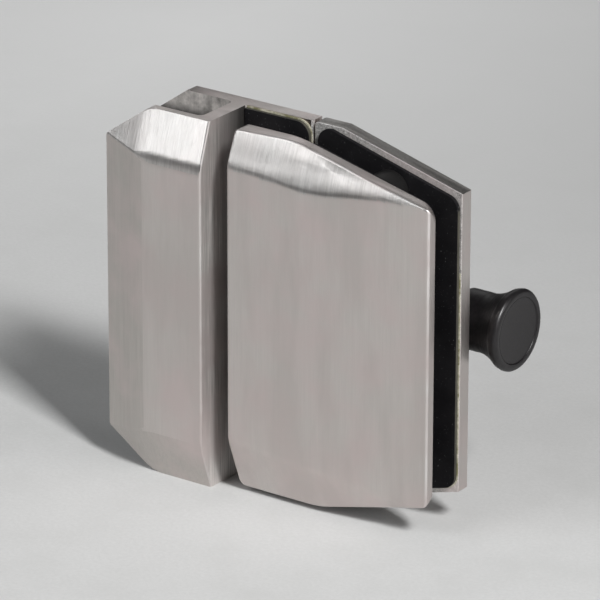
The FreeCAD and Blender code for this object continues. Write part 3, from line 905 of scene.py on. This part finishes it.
@dataclass
class Strike:
    """The strike on the fixed panel: its casting and stop gasket."""

    width: float = 35.9
    facet_depth: float = 4.6
    end_facet: float = 13.5
    side_facet: float = 15.4
    corner_cut: tuple[float, float] = (15.3, 10.8)
    channel_wall: float = 7.05
    plate: float = 4.5
    web: float = 4.5
    channel_fillet: float = 2.0
    plate_fillet: float = 1.0
    stop_radius: float = 1.2
    edge: float = 0.3
    ground_edges: tuple[tuple[Facet, Facet, float], ...] = (
        (Facet.CORNER, Facet.END, 3.2), (Facet.SIDE, Facet.FRONT, 3.0),
        (Facet.END, Facet.FRONT, 2.6), (Facet.SIDE, Facet.CORNER, 0.5),
        (Facet.FRONT, Facet.WALL, 0.9), (Facet.END, Facet.WALL, 0.6))
    widest: float = 5.0
    ground_end: float = 0.6
    pad_top_margin: float = 0.6
    pad_radius: float = 4.2
    film_overhang: float = 0.45
    screw_radius: float = 4.05
    slack: float = 0.35
    low: Vector = field(init=False)
    high: Vector = field(init=False)

    def __post_init__(self) -> None:
        """Takes the casting's place from the frame."""
        self.low, self.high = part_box("strike_body")

    @property
    def wall_x(self) -> float:
        """The gate-side wall, in metres."""
        return self.low.x + self.width * MM

    @property
    def inner_x(self) -> float:
        """The glass channel's end, in metres."""
        return self.wall_x - self.web * MM

    @property
    def channel(self) -> Range:
        """The glass channel's front and back, in metres."""
        return self.low.y + self.channel_wall * MM, self.high.y - self.plate * MM

    def section(self) -> Piece:
        """Makes the casting's level section as flat faces on the floor.

        Returns:
            The new piece, open above.
        """
        middle = Vector(((self.inner_x + self.wall_x) / 2, (self.low.y + self.high.y) / 2, 0.0))
        piece = Piece("strike_casting", bpy.ops.mesh.primitive_plane_add, size=1.0,
                      location=middle)
        piece.settle((self.web * MM, self.high.y - self.low.y, 1.0))
        front, back = self.channel
        for y in (front, back):
            with piece.editing():
                bpy.ops.mesh.bisect(plane_co=(0.0, y, 0.0), plane_no=(0.0, 1.0, 0.0))
        arm = self.low.x - self.inner_x
        for x, y_low, y_high, reach in ((self.inner_x, self.low.y, front, arm),
                                        (self.inner_x, back, self.high.y, arm),
                                        (self.wall_x, back, self.high.y,
                                         self.high.x - self.wall_x)):
            piece.extrude((reach, 0.0, 0.0), edge_at(Vector((x, (y_low + y_high) / 2, 0.0))))
        return piece

    def corner_normal(self, up: float) -> Vector:
        """The direction that a corner facet faces.

        Args:
            up: 1 for the top corner and -1 for the bottom one.

        Returns:
            Its unit normal.
        """
        cut_x, cut_z = self.corner_cut
        peak = Vector((self.side_facet, 0.0, up * -self.end_facet))
        side = Vector((0.0, self.facet_depth, up * -cut_z))
        top = Vector((cut_x, self.facet_depth, 0.0))
        normal = (side - peak).cross(top - peak).normalized()
        return normal if normal.y < 0 else -normal

    def facet_normals(self) -> dict[Facet, list[Vector]]:
        """The directions that the facets face."""
        depth, ups = self.facet_depth, (-1.0, 1.0)
        return {
            Facet.FRONT: [Vector((0.0, -1.0, 0.0))],
            Facet.WALL: [Vector((1.0, 0.0, 0.0))],
            Facet.SIDE: [Vector((-depth, -self.side_facet, 0.0)).normalized()],
            Facet.END: [Vector((0.0, -self.end_facet, up * depth)).normalized() for up in ups],
            Facet.CORNER: [self.corner_normal(up) for up in ups]}

    def cut_facets(self, piece: Piece) -> None:
        """Cuts the facets and the diagonal corners of the casting.

        Args:
            piece: the casting, still square.
        """
        cut_x, cut_z = self.corner_cut
        depth, left = self.facet_depth, self.low.x
        piece.cut((left, self.low.y + depth * MM, 0.0), (-depth, -self.side_facet, 0.0))
        for up, end in ((-1.0, self.low.z), (1.0, self.high.z)):
            crease_z = end - up * self.end_facet * MM
            piece.cut((0.0, self.low.y, crease_z), (0.0, -self.end_facet, up * depth))
            piece.cut((left, 0.0, end - up * cut_z * MM), (-cut_z, 0.0, up * cut_x))
            piece.cut((left + self.side_facet * MM, self.low.y, crease_z),
                      self.corner_normal(up))

    def grind(self, piece: Piece) -> None:
        """Rounds the edges between the facets, each as widely as it was ground.

        Args:
            piece: the casting with its facets.
        """
        normals = self.facet_normals()
        widths = {frozenset(pair): width for *pair, width in self.ground_edges}
        with piece.editing() as mesh:
            mesh.normal_update()
            layer = mesh.edges.layers.float.new("bevel_weight_edge")
            kinds = {face.index: kind for face in mesh.faces for kind, ways in normals.items()
                     if any(face.normal.dot(way) > SAME_WAY for way in ways)}
            for edge in mesh.edges:
                pair = frozenset(kinds.get(face.index) for face in edge.link_faces)
                edge[layer] = widths.get(pair, 0.0) / self.widest
        piece.change("BEVEL", width=self.widest * MM, segments=10, limit_method="WEIGHT",
                     use_clamp_overlap=False, loop_slide=True)

    def casting(self) -> Piece:
        """Makes the strike's casting with channel, facets and stop plate.

        Returns:
            The finished shape.
        """
        piece = self.section()
        piece.extrude((0.0, 0.0, self.high.z - self.low.z))
        with piece.editing():
            bpy.ops.mesh.normals_make_consistent(inside=False)
            bpy.ops.mesh.dissolve_limited(angle_limit=math.radians(0.5))
        self.cut_facets(piece)
        self.grind(piece)
        back = self.channel[1]
        roundings = (
            (edges_along(2, [(self.inner_x, y) for y in self.channel]), self.channel_fillet, 5),
            (edges_along(2, [(self.wall_x, back)]), self.plate_fillet, 4),
            (edges_along(1, [(self.high.x, end.z) for end in (self.low, self.high)]),
             self.stop_radius, 8))
        for edges, radius, segments in roundings:
            piece.round_edges(edges, radius * MM, segments)
        screw_low, screw_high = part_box("strike_grub_screws")
        radius = self.screw_radius * MM
        piece.subtract([Piece.drill(radius, ((screw_low.x + screw_high.x) / 2,
                                             back - self.plate * MM, z), 3 * self.plate * MM)
                        for z in (screw_low.z + radius, screw_high.z - radius)])
        piece.soften(self.edge)
        return piece

    def look(self, middle: Vector, normal: Vector) -> Look:
        """How one face of the casting looks.

        Args:
            middle: the face's middle.
            normal: its normal.

        Returns:
            Its finish.
        """
        slack = self.slack * MM
        front, back = self.channel
        if (middle.x < self.inner_x + slack and front - slack < middle.y < back + slack
                and abs(normal.z) < 0.5 and self.low.z + slack < middle.z < self.high.z - slack):
            return Look.CAST
        if middle.x > self.high.x - self.ground_end * MM and middle.y < back + MM:
            return Look.GROUND
        look = front_look(normal)
        # Painted shade on forward faces that turn to the left or down.
        if look is Look.STEEL and normal.y < FORWARD and min(normal.x, normal.z) < SHADED:
            return Look.SIDE
        if look is Look.STEEL and normal.x > 0.9 and middle.x < self.wall_x + slack:
            return Look.WALL
        return look

    def build(self) -> None:
        """Makes and dresses the strike's pieces."""
        self.casting().dress(Look.STEEL, Body.STRIKE, ("strike_body",), self.look)
        low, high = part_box("strike_stop_pad")
        margin = self.pad_top_margin * MM
        shape = TaperedPlate(high.x, 0.0, 0.0, self.pad_radius * MM)
        Gasket("stop_gasket", "strike_stop_pad", Body.STRIKE, shape,
               Vector((low.x, low.y, self.low.z + margin)),
               Vector((high.x, high.y, self.high.z - margin)),
               adhesive="stop_gasket_adhesive", overhang=self.film_overhang).build()


@dataclass
class GateCover:
    """The gate's front cover: hand-ground, so its top and foot differ a little.

    Places are measured from the low corner of the cover's own box in the frame. Radii go round
    the corners as top left, foot left, top right and foot right.
    """

    width: float = 63.5
    depth: float = 9.6
    top: BentLine = BentLine(107.95, 0.0, ((18.65, -0.242, 4.0),))
    foot: BentLine = BentLine(0.4, 0.0, ((27.3, 0.248, 4.0),))
    middle: BentLine = BentLine(0.0, 0.07, ((24.5, 0.0425, 2.0),))
    top_crease: BentLine = BentLine(98.65, -0.115, ((27.5, 0.23, 6.0), (50.0, -0.115, 4.0)))
    foot_crease: BentLine = BentLine(16.35, -0.1307)
    top_rim: BentLine = BentLine(4.0, 0.0995, ((21.1, -0.0995, 3.0),))
    foot_rim: BentLine = BentLine(6.1)
    crease_soft: BentLine = BentLine(2.1, -0.018)
    top_roll: BentLine = BentLine(3.3, 0.0, ((14.5, 0.75, 3.0),))
    foot_roll: BentLine = BentLine(2.4, -0.02)
    steepest: float = 0.5
    corner_radii: tuple[float, float, float, float] = (1.2, 2.2, 1.0, 1.0)
    back_radii: tuple[float, float, float, float] = (1.2, 2.2, 4.0, 3.0)
    edge_radii: tuple[float, float, float, float] = (0.45, 0.5, 0.9, 0.9)
    edge_blend: float = 0.3
    back_edge: float = 0.3
    column_pitch: float = 1.0
    row_pitch: float = 0.8
    arc_steps: int = 10
    edge_rows: tuple[float, ...] = (0.0, 0.02, 0.08, 0.17, 0.29, 0.45, 0.65, 0.9, 1.3)

    def outline(self, x: float, inset: float, radii: Sequence[float]) -> Range:
        """Where the outline's foot and top stand at one place across the cover.

        Args:
            x: the place across the cover.
            inset: how far the outline lies inside the cover's own.
            radii: the corners' radii.

        Returns:
            The foot's and the top's height.
        """
        left, right = x - inset, self.width - inset - x
        dips = [arc_dip(left, radii[corner] - inset) + arc_dip(right, radii[corner + 2] - inset)
                for corner in (0, 1)]
        return self.foot.at(x) + inset + dips[1], self.top.at(x) - inset - dips[0]

    def columns(self, inset: float, radii: Sequence[float]) -> list[float]:
        """Places across the cover where its columns stand, closer round the corners.

        Args:
            inset: how far the outline lies inside the cover's own.
            radii: the corners' radii.

        Returns:
            The places, from left to right.
        """
        left, right = max(radii[:2]) - inset, max(radii[2:]) - inset
        start, stop = inset + left, self.width - inset - right
        angles = [math.pi / 2 * step / self.arc_steps for step in range(self.arc_steps + 1)]
        count = round(self.width / self.column_pitch)
        middle = [start + (stop - start) * step / count for step in range(1, count)]
        return ([start - left * math.cos(angle) for angle in angles] + middle
                + [stop + right * math.sin(angle) for angle in angles])

    def rolled(self, past: float, soft: float, roll: float) -> float:
        """How far a facet has fallen back, where its slope grows from 0 to 1 across a crease.

        Args:
            past: how far past the crease a place lies.
            soft: how far before the crease the slope starts to grow.
            roll: how far past it the slope is full.

        Returns:
            The fall, for a full slope of 1.
        """
        if past <= 0.0:
            return max(past + soft, 0.0) ** 2 / (4 * soft)
        within = min(past, roll)
        return soft / 4 + within / 2 + within ** 2 / (4 * roll) + max(past - roll, 0.0)

    def facet(self, past: float, height: float, fall: float, soft: float,
              roll: float) -> float:
        """How far the front falls back on its way from the middle face to the rim.

        Args:
            past: how far past the crease a place lies.
            height: how far past it the rim lies.
            fall: how far back the rim lies.
            soft: how far before the crease the fall starts.
            roll: how far past it the slope is full.

        Returns:
            The fall at the place.
        """
        roll = max(min(roll, height), soft)
        full = self.rolled(height, soft, roll)
        steep = min(fall / full, self.steepest) if full > 0.0 else self.steepest
        return steep * self.rolled(past, soft, roll)

    def front_y(self, x: float, z: float) -> float:
        """Depth of the cover's front before its edge is rounded.

        Args:
            x: the place across the cover.
            z: the height.

        Returns:
            The depth there.
        """
        plane, soft = self.middle.at(x), self.crease_soft.at(x)
        top_crease, foot_crease = self.top_crease.at(x), self.foot_crease.at(x)
        facets = ((z - top_crease, self.top.at(x) - top_crease, self.top_rim, self.top_roll),
                  (foot_crease - z, foot_crease - self.foot.at(x), self.foot_rim,
                   self.foot_roll))
        return sum((self.facet(past, height, rim.at(x) - plane, soft, roll.at(x))
                    for past, height, rim, roll in facets), plane)

    def edge_dip(self, x: float, z: float) -> float:
        """How far the rounded edge lies behind the plain front at one place.

        Args:
            x: the place across the cover.
            z: the height.

        Returns:
            The dip there.
        """
        top, foot, right = self.top.at(x) - z, z - self.foot.at(x), self.width - x
        gaps = (top, foot, x, right)
        weights = [1.0 / (max(gap, 0.0) + self.edge_blend) ** 3 for gap in gaps]
        radius = sum(w * r for w, r in zip(weights, self.edge_radii)) / sum(weights)
        inside = min(gaps)
        corners = ((x, top), (x, foot), (right, top), (right, foot))
        for (across, along), corner in zip(corners, self.corner_radii):
            if across < corner and along < corner:
                inside = min(inside, corner - math.hypot(corner - across, corner - along))
        return arc_dip(max(inside, 0.0), radius)

    def rows(self) -> list[tuple[float, float]]:
        """The cover's rows from foot to top, closer together near both.

        Returns:
            For each row its plain distance from the foot and its share of the inner height.
        """
        edge = self.edge_rows[-1]
        count = round((self.top.start - self.foot.start - 2 * edge) / self.row_pitch)
        return ([(gap, 0.0) for gap in self.edge_rows]
                + [(edge, step / count) for step in range(1, count)]
                + [(2 * edge - gap, 1.0) for gap in reversed(self.edge_rows)])

    def row_height(self, row: tuple[float, float], foot: float, top: float) -> float:
        """How high one row stands in a column, between the column's foot and top."""
        return foot + row[0] + row[1] * (top - foot - 2 * self.edge_rows[-1])

    def back_place(self, column: int, row: int, inset: float) -> Place:
        """Where a place of the front's outline continues farther back, as X and Z."""
        x = self.columns(inset, self.back_radii)[column]
        return x, self.row_height(self.rows()[row], *self.outline(x, inset, self.back_radii))

    def build(self, low: Vector) -> Piece:
        """Makes the cover.

        Args:
            low: the low corner of the cover's box, in metres.

        Returns:
            The finished shape.
        """
        columns, rows = self.columns(0.0, self.corner_radii), self.rows()
        ends = [self.outline(x, 0.0, self.corner_radii) for x in columns]
        last_column, last_row = len(columns) - 1, len(rows) - 1
        piece = Piece("latch_cover", bpy.ops.mesh.primitive_grid_add,
                      x_subdivisions=last_column, y_subdivisions=last_row, size=1.0)
        rim = {}
        for vertex in piece.obj.data.vertices:
            i = round((vertex.co.x + 0.5) * last_column)
            j = round((vertex.co.y + 0.5) * last_row)
            x, z = columns[i], self.row_height(rows[j], *ends[i])
            vertex.co = low + Vector((x, self.front_y(x, z) + self.edge_dip(x, z), z)) * MM
            if i in (0, last_column) or j in (0, last_row):
                rim[tuple(vertex.co)] = (i, j)
        with piece.editing(lambda edge: edge.is_boundary):
            for inset, y in ((0.0, self.depth - self.back_edge), (self.back_edge, self.depth)):
                bpy.ops.mesh.extrude_region_move(TRANSFORM_OT_translate={"value": (0, 0, 0)})
                mesh = bmesh.from_edit_mesh(piece.obj.data)
                moved = {}
                for vertex in (vertex for vertex in mesh.verts if vertex.select):
                    place = rim[tuple(vertex.co)]
                    x, z = self.back_place(*place, inset)
                    vertex.co = low + Vector((x, y, z)) * MM
                    moved[tuple(vertex.co)] = place
                rim = moved
                bmesh.update_edit_mesh(piece.obj.data)
            bpy.ops.mesh.edge_face_add()
            bpy.ops.mesh.select_all(action="SELECT")
            bpy.ops.mesh.normals_make_consistent(inside=False)
        piece.smooth(50.0)
        return piece


@dataclass
class GateClamp:
    """The gate's clamp: front cover, back plate and their gaskets."""

    cover: GateCover = field(default_factory=GateCover)
    cover_bend: float = 22.9
    cover_drop: float = 10.05
    cover_pad_radii: tuple[float, float] = (1.5, 3.0)
    plate_bend: float = 8.5
    plate_drop: float = 10.8
    plate_left_gap: float = 0.75
    plate_radius: float = 1.2
    plate_edge: float = 0.25
    pad_margins: tuple[float, float, float] = (1.3, 0.5, 0.85)
    pad_bend: float = 5.9
    pad_drop: float = 11.66
    pad_radii: tuple[float, float] = (4.0, 3.0)
    film_overhang: float = 0.35
    film_top: float = 76.0
    screw_radius: float = 3.05
    screw_head_radius: float = 5.85

    def screw_places(self) -> list[Place]:
        """Where the two cover bolts stand.

        Returns:
            The X and Z of each, in metres.
        """
        low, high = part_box("glass_bushes")
        radius = (high.x - low.x) / 2
        return [((low.x + high.x) / 2, z) for z in (low.z + radius, high.z - radius)]

    def screw_holes(self, front: float, back: float) -> list[Piece]:
        """Cutters for the cover bolts' clearance holes between two depths."""
        return [Piece.drill(self.screw_radius * MM, (x, front, z), back - front)
                for x, z in self.screw_places()]

    def back_plate(self) -> Piece:
        """Makes the back plate with its countersunk holes.

        Returns:
            The finished shape.
        """
        low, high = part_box("back_plate")
        shape = TaperedPlate(low.x + self.plate_bend * MM, self.plate_drop * MM,
                             self.plate_radius * MM, 0.0)
        left = Vector((self.plate_left_gap * MM, 0.0, 0.0))
        piece = shape.build("tapered_back_plate", low - left, high)
        piece.subtract(self.screw_holes(low.y - MM, high.y + MM))
        head = (self.screw_head_radius - self.screw_radius) * MM
        piece.subtract([Piece.drill(self.screw_radius * MM, (x, high.y - head, z),
                                    head + NEAR, self.screw_head_radius * MM)
                        for x, z in self.screw_places()])
        piece.soften(self.plate_edge)
        return piece

    def back_gasket(self) -> Gasket:
        """The back plate's gasket, with the adhesive that shows at its right and foot.

        Returns:
            The gasket, not yet made.
        """
        plate_low, plate_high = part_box("back_plate")
        low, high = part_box("back_plate_pad")
        left, right, end = (margin * MM for margin in self.pad_margins)
        shape = TaperedPlate(plate_low.x + self.pad_bend * MM, self.pad_drop * MM,
                             *(radius * MM for radius in self.pad_radii))
        return Gasket("back_plate_gasket", "back_plate_pad", Body.LATCH_UNIT, shape,
                      Vector((plate_low.x + left, low.y, plate_low.z + end)),
                      Vector((plate_high.x - right, high.y, plate_high.z - end)),
                      self.screw_holes, "back_plate_adhesive", self.film_overhang,
                      self.film_top)

    def cover_gasket(self) -> Gasket:
        """The gasket behind the cover.

        Returns:
            The gasket, not yet made.
        """
        cover_low, cover_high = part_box("front_cover")
        low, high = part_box("cover_pad")
        bend = cover_low.x + self.cover_bend * MM
        drop = self.cover_drop * MM * (high.x - bend) / (cover_high.x - bend)
        shape = TaperedPlate(bend, drop, *(radius * MM for radius in self.cover_pad_radii))
        return Gasket("cover_gasket", "cover_pad", Body.LATCH_UNIT, shape, low, high,
                      self.screw_holes)

    @staticmethod
    def plate_look(_: Vector, normal: Vector) -> Look:
        """Ground on the plate's front, with painted shade on its top edge, and brushed elsewhere.
        """
        side = Look.ROLLED if normal.z > 0.5 else Look.STEEL
        return Look.GROUND if normal.y < FORWARD else side

    def build(self) -> None:
        """Makes and dresses the cover, the back plate and the gaskets."""
        cover = self.cover.build(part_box("front_cover")[0])
        cover.dress(Look.STEEL, Body.LATCH_UNIT, ("front_cover",),
                    lambda _, normal: front_look(normal))
        self.back_plate().dress(Look.STEEL, Body.LATCH_UNIT, ("back_plate",), self.plate_look)
        self.back_gasket().build()
        self.cover_gasket().build()


@dataclass
class Knob:
    """The turned pull knob, whose outline is told as distance before its end face and radius."""

    neck_radius: float = 8.6
    neck_edge: float = 0.4
    neck_end: tuple[Place, ...] = ((5.5, 0.0), (6.5, -0.03))
    waist_radius: float = 8.5
    flare_length: float = 8.4
    flare_power: float = 2.0
    flare_end: float = 0.3
    flare_steps: int = 20
    bright_flare: float = 0.8
    rim_radius: float = 11.85
    rim_thickness: float = 2.5
    edge: float = 1.15
    edge_steps: int = 8
    recess_radius: float = 9.6
    recess_depth: float = 0.3
    recess_blend: float = 0.28
    recess_lip: tuple[Place, ...] = ((0.0, 0.15), (0.05, 0.04), (0.15, -0.02))
    steps: int = 128

    def corner(self, before: float, radius: float, start: float, stop: float,
               size: float) -> list[Place]:
        """A rounded edge of the outline.

        Args:
            before: its centre's distance before the end face.
            radius: its centre's distance from the axis.
            start: angle where it starts, in degrees, 180 being away from the end face.
            stop: angle where it ends.
            size: its own radius.

        Returns:
            Points of the outline after the one where it starts.
        """
        angles = [math.radians(start + (stop - start) * step / self.edge_steps)
                  for step in range(1, self.edge_steps + 1)]
        return [(before - size * math.cos(angle), radius + size * math.sin(angle))
                for angle in angles]

    def flare(self) -> list[Place]:
        """The hollow curve from the waist out to the rim.

        Returns:
            Points of the outline.
        """
        start, stop = self.rim_thickness + self.flare_length, self.rim_thickness
        out = self.rim_radius - self.flare_end - self.waist_radius
        shares = [step / self.flare_steps for step in range(self.flare_steps + 1)]
        return [(start + (stop - start) * share,
                 self.waist_radius + out * share ** self.flare_power) for share in shares]

    def profile(self, length: float) -> list[Place]:
        """The knob's outline from the neck's middle to the end face's middle.

        Args:
            length: the knob's length.

        Returns:
            The places.
        """
        neck, small, edge = self.neck_radius, self.neck_edge, self.edge
        inner, blend = self.recess_radius, self.recess_blend
        lip_end = self.recess_lip[-1][1]
        quarter = [math.pi / 2 * step / self.edge_steps for step in range(self.edge_steps + 1)]
        return ([(length, 0.0), (length, neck - small)]
                + self.corner(length - small, neck - small, 180.0, 90.0, small)
                + [(length - along, neck + out) for along, out in self.neck_end] + self.flare()
                + self.corner(edge, self.rim_radius - edge, 120.0, 0.0, edge)
                + [(before, inner + out) for before, out in self.recess_lip]
                + [(self.recess_depth - blend * (1 - math.sin(angle)),
                    inner + lip_end - blend * (1 - math.cos(angle))) for angle in quarter]
                + [(self.recess_depth, 0.0)])

    def build(self) -> None:
        """Spins the outline round the bolt's axis and dresses the knob."""
        low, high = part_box("knob")
        axis = Vector((0.0, (low.y + high.y) / 2, (low.z + high.z) / 2))
        outline = self.profile((high.x - low.x) / MM)
        piece = Piece("pull_knob", bpy.ops.mesh.primitive_circle_add, vertices=len(outline),
                      radius=0.01)
        for vertex, (before, radius) in zip(piece.obj.data.vertices, outline):
            vertex.co = axis + Vector((high.x - before * MM, 0.0, radius * MM))
        with piece.editing() as mesh:
            mesh.verts.ensure_lookup_table()
            ends = {mesh.verts[0], mesh.verts[len(outline) - 1]}
            closing = [edge for edge in mesh.edges if set(edge.verts) == ends]
            bmesh.ops.delete(mesh, geom=closing, context="EDGES")
            bmesh.update_edit_mesh(piece.obj.data)
            bpy.ops.mesh.select_all(action="SELECT")
            bpy.ops.mesh.spin(steps=self.steps, angle=2 * math.pi, center=axis,
                              axis=(1.0, 0.0, 0.0))
        piece.face_outwards()
        piece.choose()
        bpy.ops.object.shade_smooth_by_angle(angle=math.radians(40.0))
        flare_x = high.x - (self.rim_thickness + self.bright_flare) * MM
        piece.dress(Look.CHARCOAL, Body.BOLT, ("knob",), lambda middle, _: (
            Look.DULL_CHARCOAL if middle.x < flare_x else Look.CHARCOAL))


@dataclass(frozen=True)
class Fitting:
    """One of the frame's own pieces, dressed by a copy with joined faces and broken edges."""

    node: str
    name: str
    look: Look = Look.TURNED
    body: Body = Body.LATCH_UNIT
    edge: float = 0.0

    def build(self) -> Piece:
        """Makes and dresses the copy.

        Returns:
            The new piece.
        """
        piece = Piece.copy_of(self.name, self.node)
        piece.soften(self.edge, 2)
        piece.dress(self.look, self.body, (self.node,))
        return piece


@dataclass
class Mechanism:
    """The bolt, its housing, the keeper and the screws, mostly seen from behind."""

    spring: Fitting = Fitting("return_spring", "bolt_spring", Look.WIRE)
    spring_keep: float = 0.39
    fittings: tuple[Fitting, ...] = (
        Fitting("strike_keeper", "keeper_block", Look.MILLED, Body.STRIKE, 0.35),
        Fitting("keeper_screws", "keeper_foot_screws", body=Body.STRIKE),
        Fitting("strike_grub_screws", "glass_grub_screws", body=Body.STRIKE, edge=0.12),
        Fitting("strike_screw_tips", "glass_grub_screw_tips", Look.NYLON, Body.STRIKE, 0.15),
        Fitting("cover_bolts", "cover_clamp_screws"),
        Fitting("glass_bushes", "glass_hole_bushes", Look.NYLON, edge=0.25),
        Fitting("latch_housing", "bolt_housing", Look.MILLED, edge=0.35),
        Fitting("housing_screws", "housing_foot_screws"),
        Fitting("housing_end_cap", "spring_end_cap", edge=0.25),
        Fitting("guide_pin", "bolt_guide_pin"),
        Fitting("latch_bolt", "spring_bolt", body=Body.BOLT, edge=0.25),
        Fitting("bolt_stop_ring", "bolt_retaining_ring", Look.WIRE, Body.BOLT),
        Fitting("knob_grub_screw", "knob_set_screw", body=Body.BOLT))

    def build(self) -> None:
        """Makes and dresses every fitting and the spring, and gives the spring a mesh of its own.
        """
        for fitting in self.fittings:
            fitting.build()
        low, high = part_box(self.spring.node)
        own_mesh(self.spring.build().obj)


def seen_from(azimuth: float, elevation: float) -> Vector:
    """The way from the latch to a camera or lamp, from its two angles in degrees."""
    turn, rise = math.radians(azimuth), math.radians(elevation)
    return Vector((math.sin(turn) * math.cos(rise), -math.cos(turn) * math.cos(rise),
                   math.sin(rise)))


@dataclass(frozen=True)
class Softbox:
    """A flat studio lamp that looks at the latch."""

    name: str
    azimuth: float
    elevation: float
    distance: float
    size: tuple[float, float]
    power: float
    colour: Colour = (1.0, 1.0, 1.0)

    def build(self, target: Vector) -> None:
        """Hangs the lamp.

        Args:
            target: the point that it looks at.
        """
        lamp = bpy.data.lights.new(self.name, "AREA")
        lamp.shape = "RECTANGLE"
        lamp.size, lamp.size_y = self.size
        lamp.energy = self.power
        lamp.color = self.colour
        obj = bpy.data.objects.new(self.name, lamp)
        away = seen_from(self.azimuth, self.elevation)
        obj.location = target + away * self.distance
        obj.rotation_euler = away.to_track_quat("Z", "Y").to_euler()
        obj.visible_camera = False
        bpy.context.scene.collection.objects.link(obj)


@dataclass
class Studio:
    """Camera, floor, world and lamps."""

    azimuth: float = 35.414
    elevation: float = 21.662
    roll: float = 0.132
    distance: float = 1.5225
    lens: float = 326.59
    sensor: float = 36.0
    clip: Range = (0.01, 50.0)
    target: Vector = field(default_factory=lambda: Vector((-2.144, -6.0, 56.726)) * MM)
    floor_reach: float = 6.0
    world_tone: Colour = (0.01, 0.01, 0.01)
    backdrop_tone: Colour = (0.50, 0.50, 0.50)
    lamps: tuple[Softbox, ...] = (
        Softbox("key_lamp", 64.0, 44.0, 2.0, (0.3, 0.45), 42.0),
        Softbox("left_low_box", -58.0, 9.0, 1.6, (0.5, 0.25), 0.3, COOL),
        Softbox("middle_low_box", -40.0, 10.0, 1.6, (0.4, 0.25), 1.5, COOL),
        Softbox("left_high_box", -55.0, 29.0, 1.6, (0.6, 0.3), 0.5, COOL),
        Softbox("front_left_box", -28.0, 19.0, 1.6, (0.6, 0.3), 1.6, COOL),
        Softbox("front_left_high_box", -30.0, 40.0, 1.6, (1.0, 0.4), 5.2, COOL),
        Softbox("side_left_box", -95.0, 35.0, 1.6, (0.8, 0.8), 0.2),
        Softbox("side_right_box", 100.0, 18.0, 1.6, (0.8, 0.5), 5.0),
        Softbox("edge_strip", 62.0, 14.0, 1.6, (0.18, 0.5), 1.3),
        Softbox("back_left_box", -140.0, 30.0, 1.8, (1.0, 0.7), 1.8),
        Softbox("back_box", 180.0, 38.0, 1.8, (1.2, 0.6), 0.5),
        Softbox("back_low_box", 200.0, 15.0, 1.8, (1.0, 0.35), 0.4))

    def place_camera(self) -> None:
        """Sets the camera where the photograph was taken from."""
        away = seen_from(self.azimuth, self.elevation)
        lens = bpy.data.cameras.new("camera")
        lens.sensor_fit = "HORIZONTAL"
        lens.sensor_width = self.sensor
        lens.lens = self.lens
        lens.clip_start, lens.clip_end = self.clip
        camera = bpy.data.objects.new("camera", lens)
        camera.matrix_world = (Matrix.Translation(self.target + away * self.distance)
                               @ away.to_track_quat("Z", "Y").to_matrix().to_4x4()
                               @ Matrix.Rotation(math.radians(self.roll), 4, "Z"))
        bpy.context.scene.collection.objects.link(camera)
        bpy.context.scene.camera = camera

    def place_floor(self) -> None:
        """Lays the paper floor."""
        floor = Piece("studio_floor", bpy.ops.mesh.primitive_circle_add, vertices=64,
                      radius=self.floor_reach, fill_type="NGON")
        floor.obj.data.materials.append(StudioPaper().build())

    def light(self) -> None:
        """Sets the world and hangs the lamps."""
        world = bpy.data.worlds.new("studio")
        bpy.context.scene.world = world
        world.use_nodes = True
        tree = world.node_tree
        rays = tree.nodes.new("ShaderNodeLightPath")
        mix = tree.nodes.new("ShaderNodeMix")
        mix.data_type = "RGBA"
        tree.links.new(rays.outputs["Is Camera Ray"], mix.inputs["Factor"])
        for socket, tone in ((6, self.world_tone), (7, self.backdrop_tone)):
            mix.inputs[socket].default_value = (*tone, 1.0)
        tree.links.new(mix.outputs[2], tree.nodes["Background"].inputs["Color"])
        for lamp in self.lamps:
            lamp.build(self.target)

    def build(self) -> None:
        """Makes the whole studio."""
        self.place_camera()
        self.place_floor()
        self.light()
        bpy.context.scene.view_settings.view_transform = "Standard"


def main() -> None:
    """Builds the latch's looks, piece by piece."""
    logging.basicConfig(level=logging.INFO, format="%(name)s: %(message)s")
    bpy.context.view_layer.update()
    for sub_assembly in (Studio(), Strike(), GateClamp(), Mechanism(), Knob()):
        sub_assembly.build()


if __name__ == "__main__":
    main()
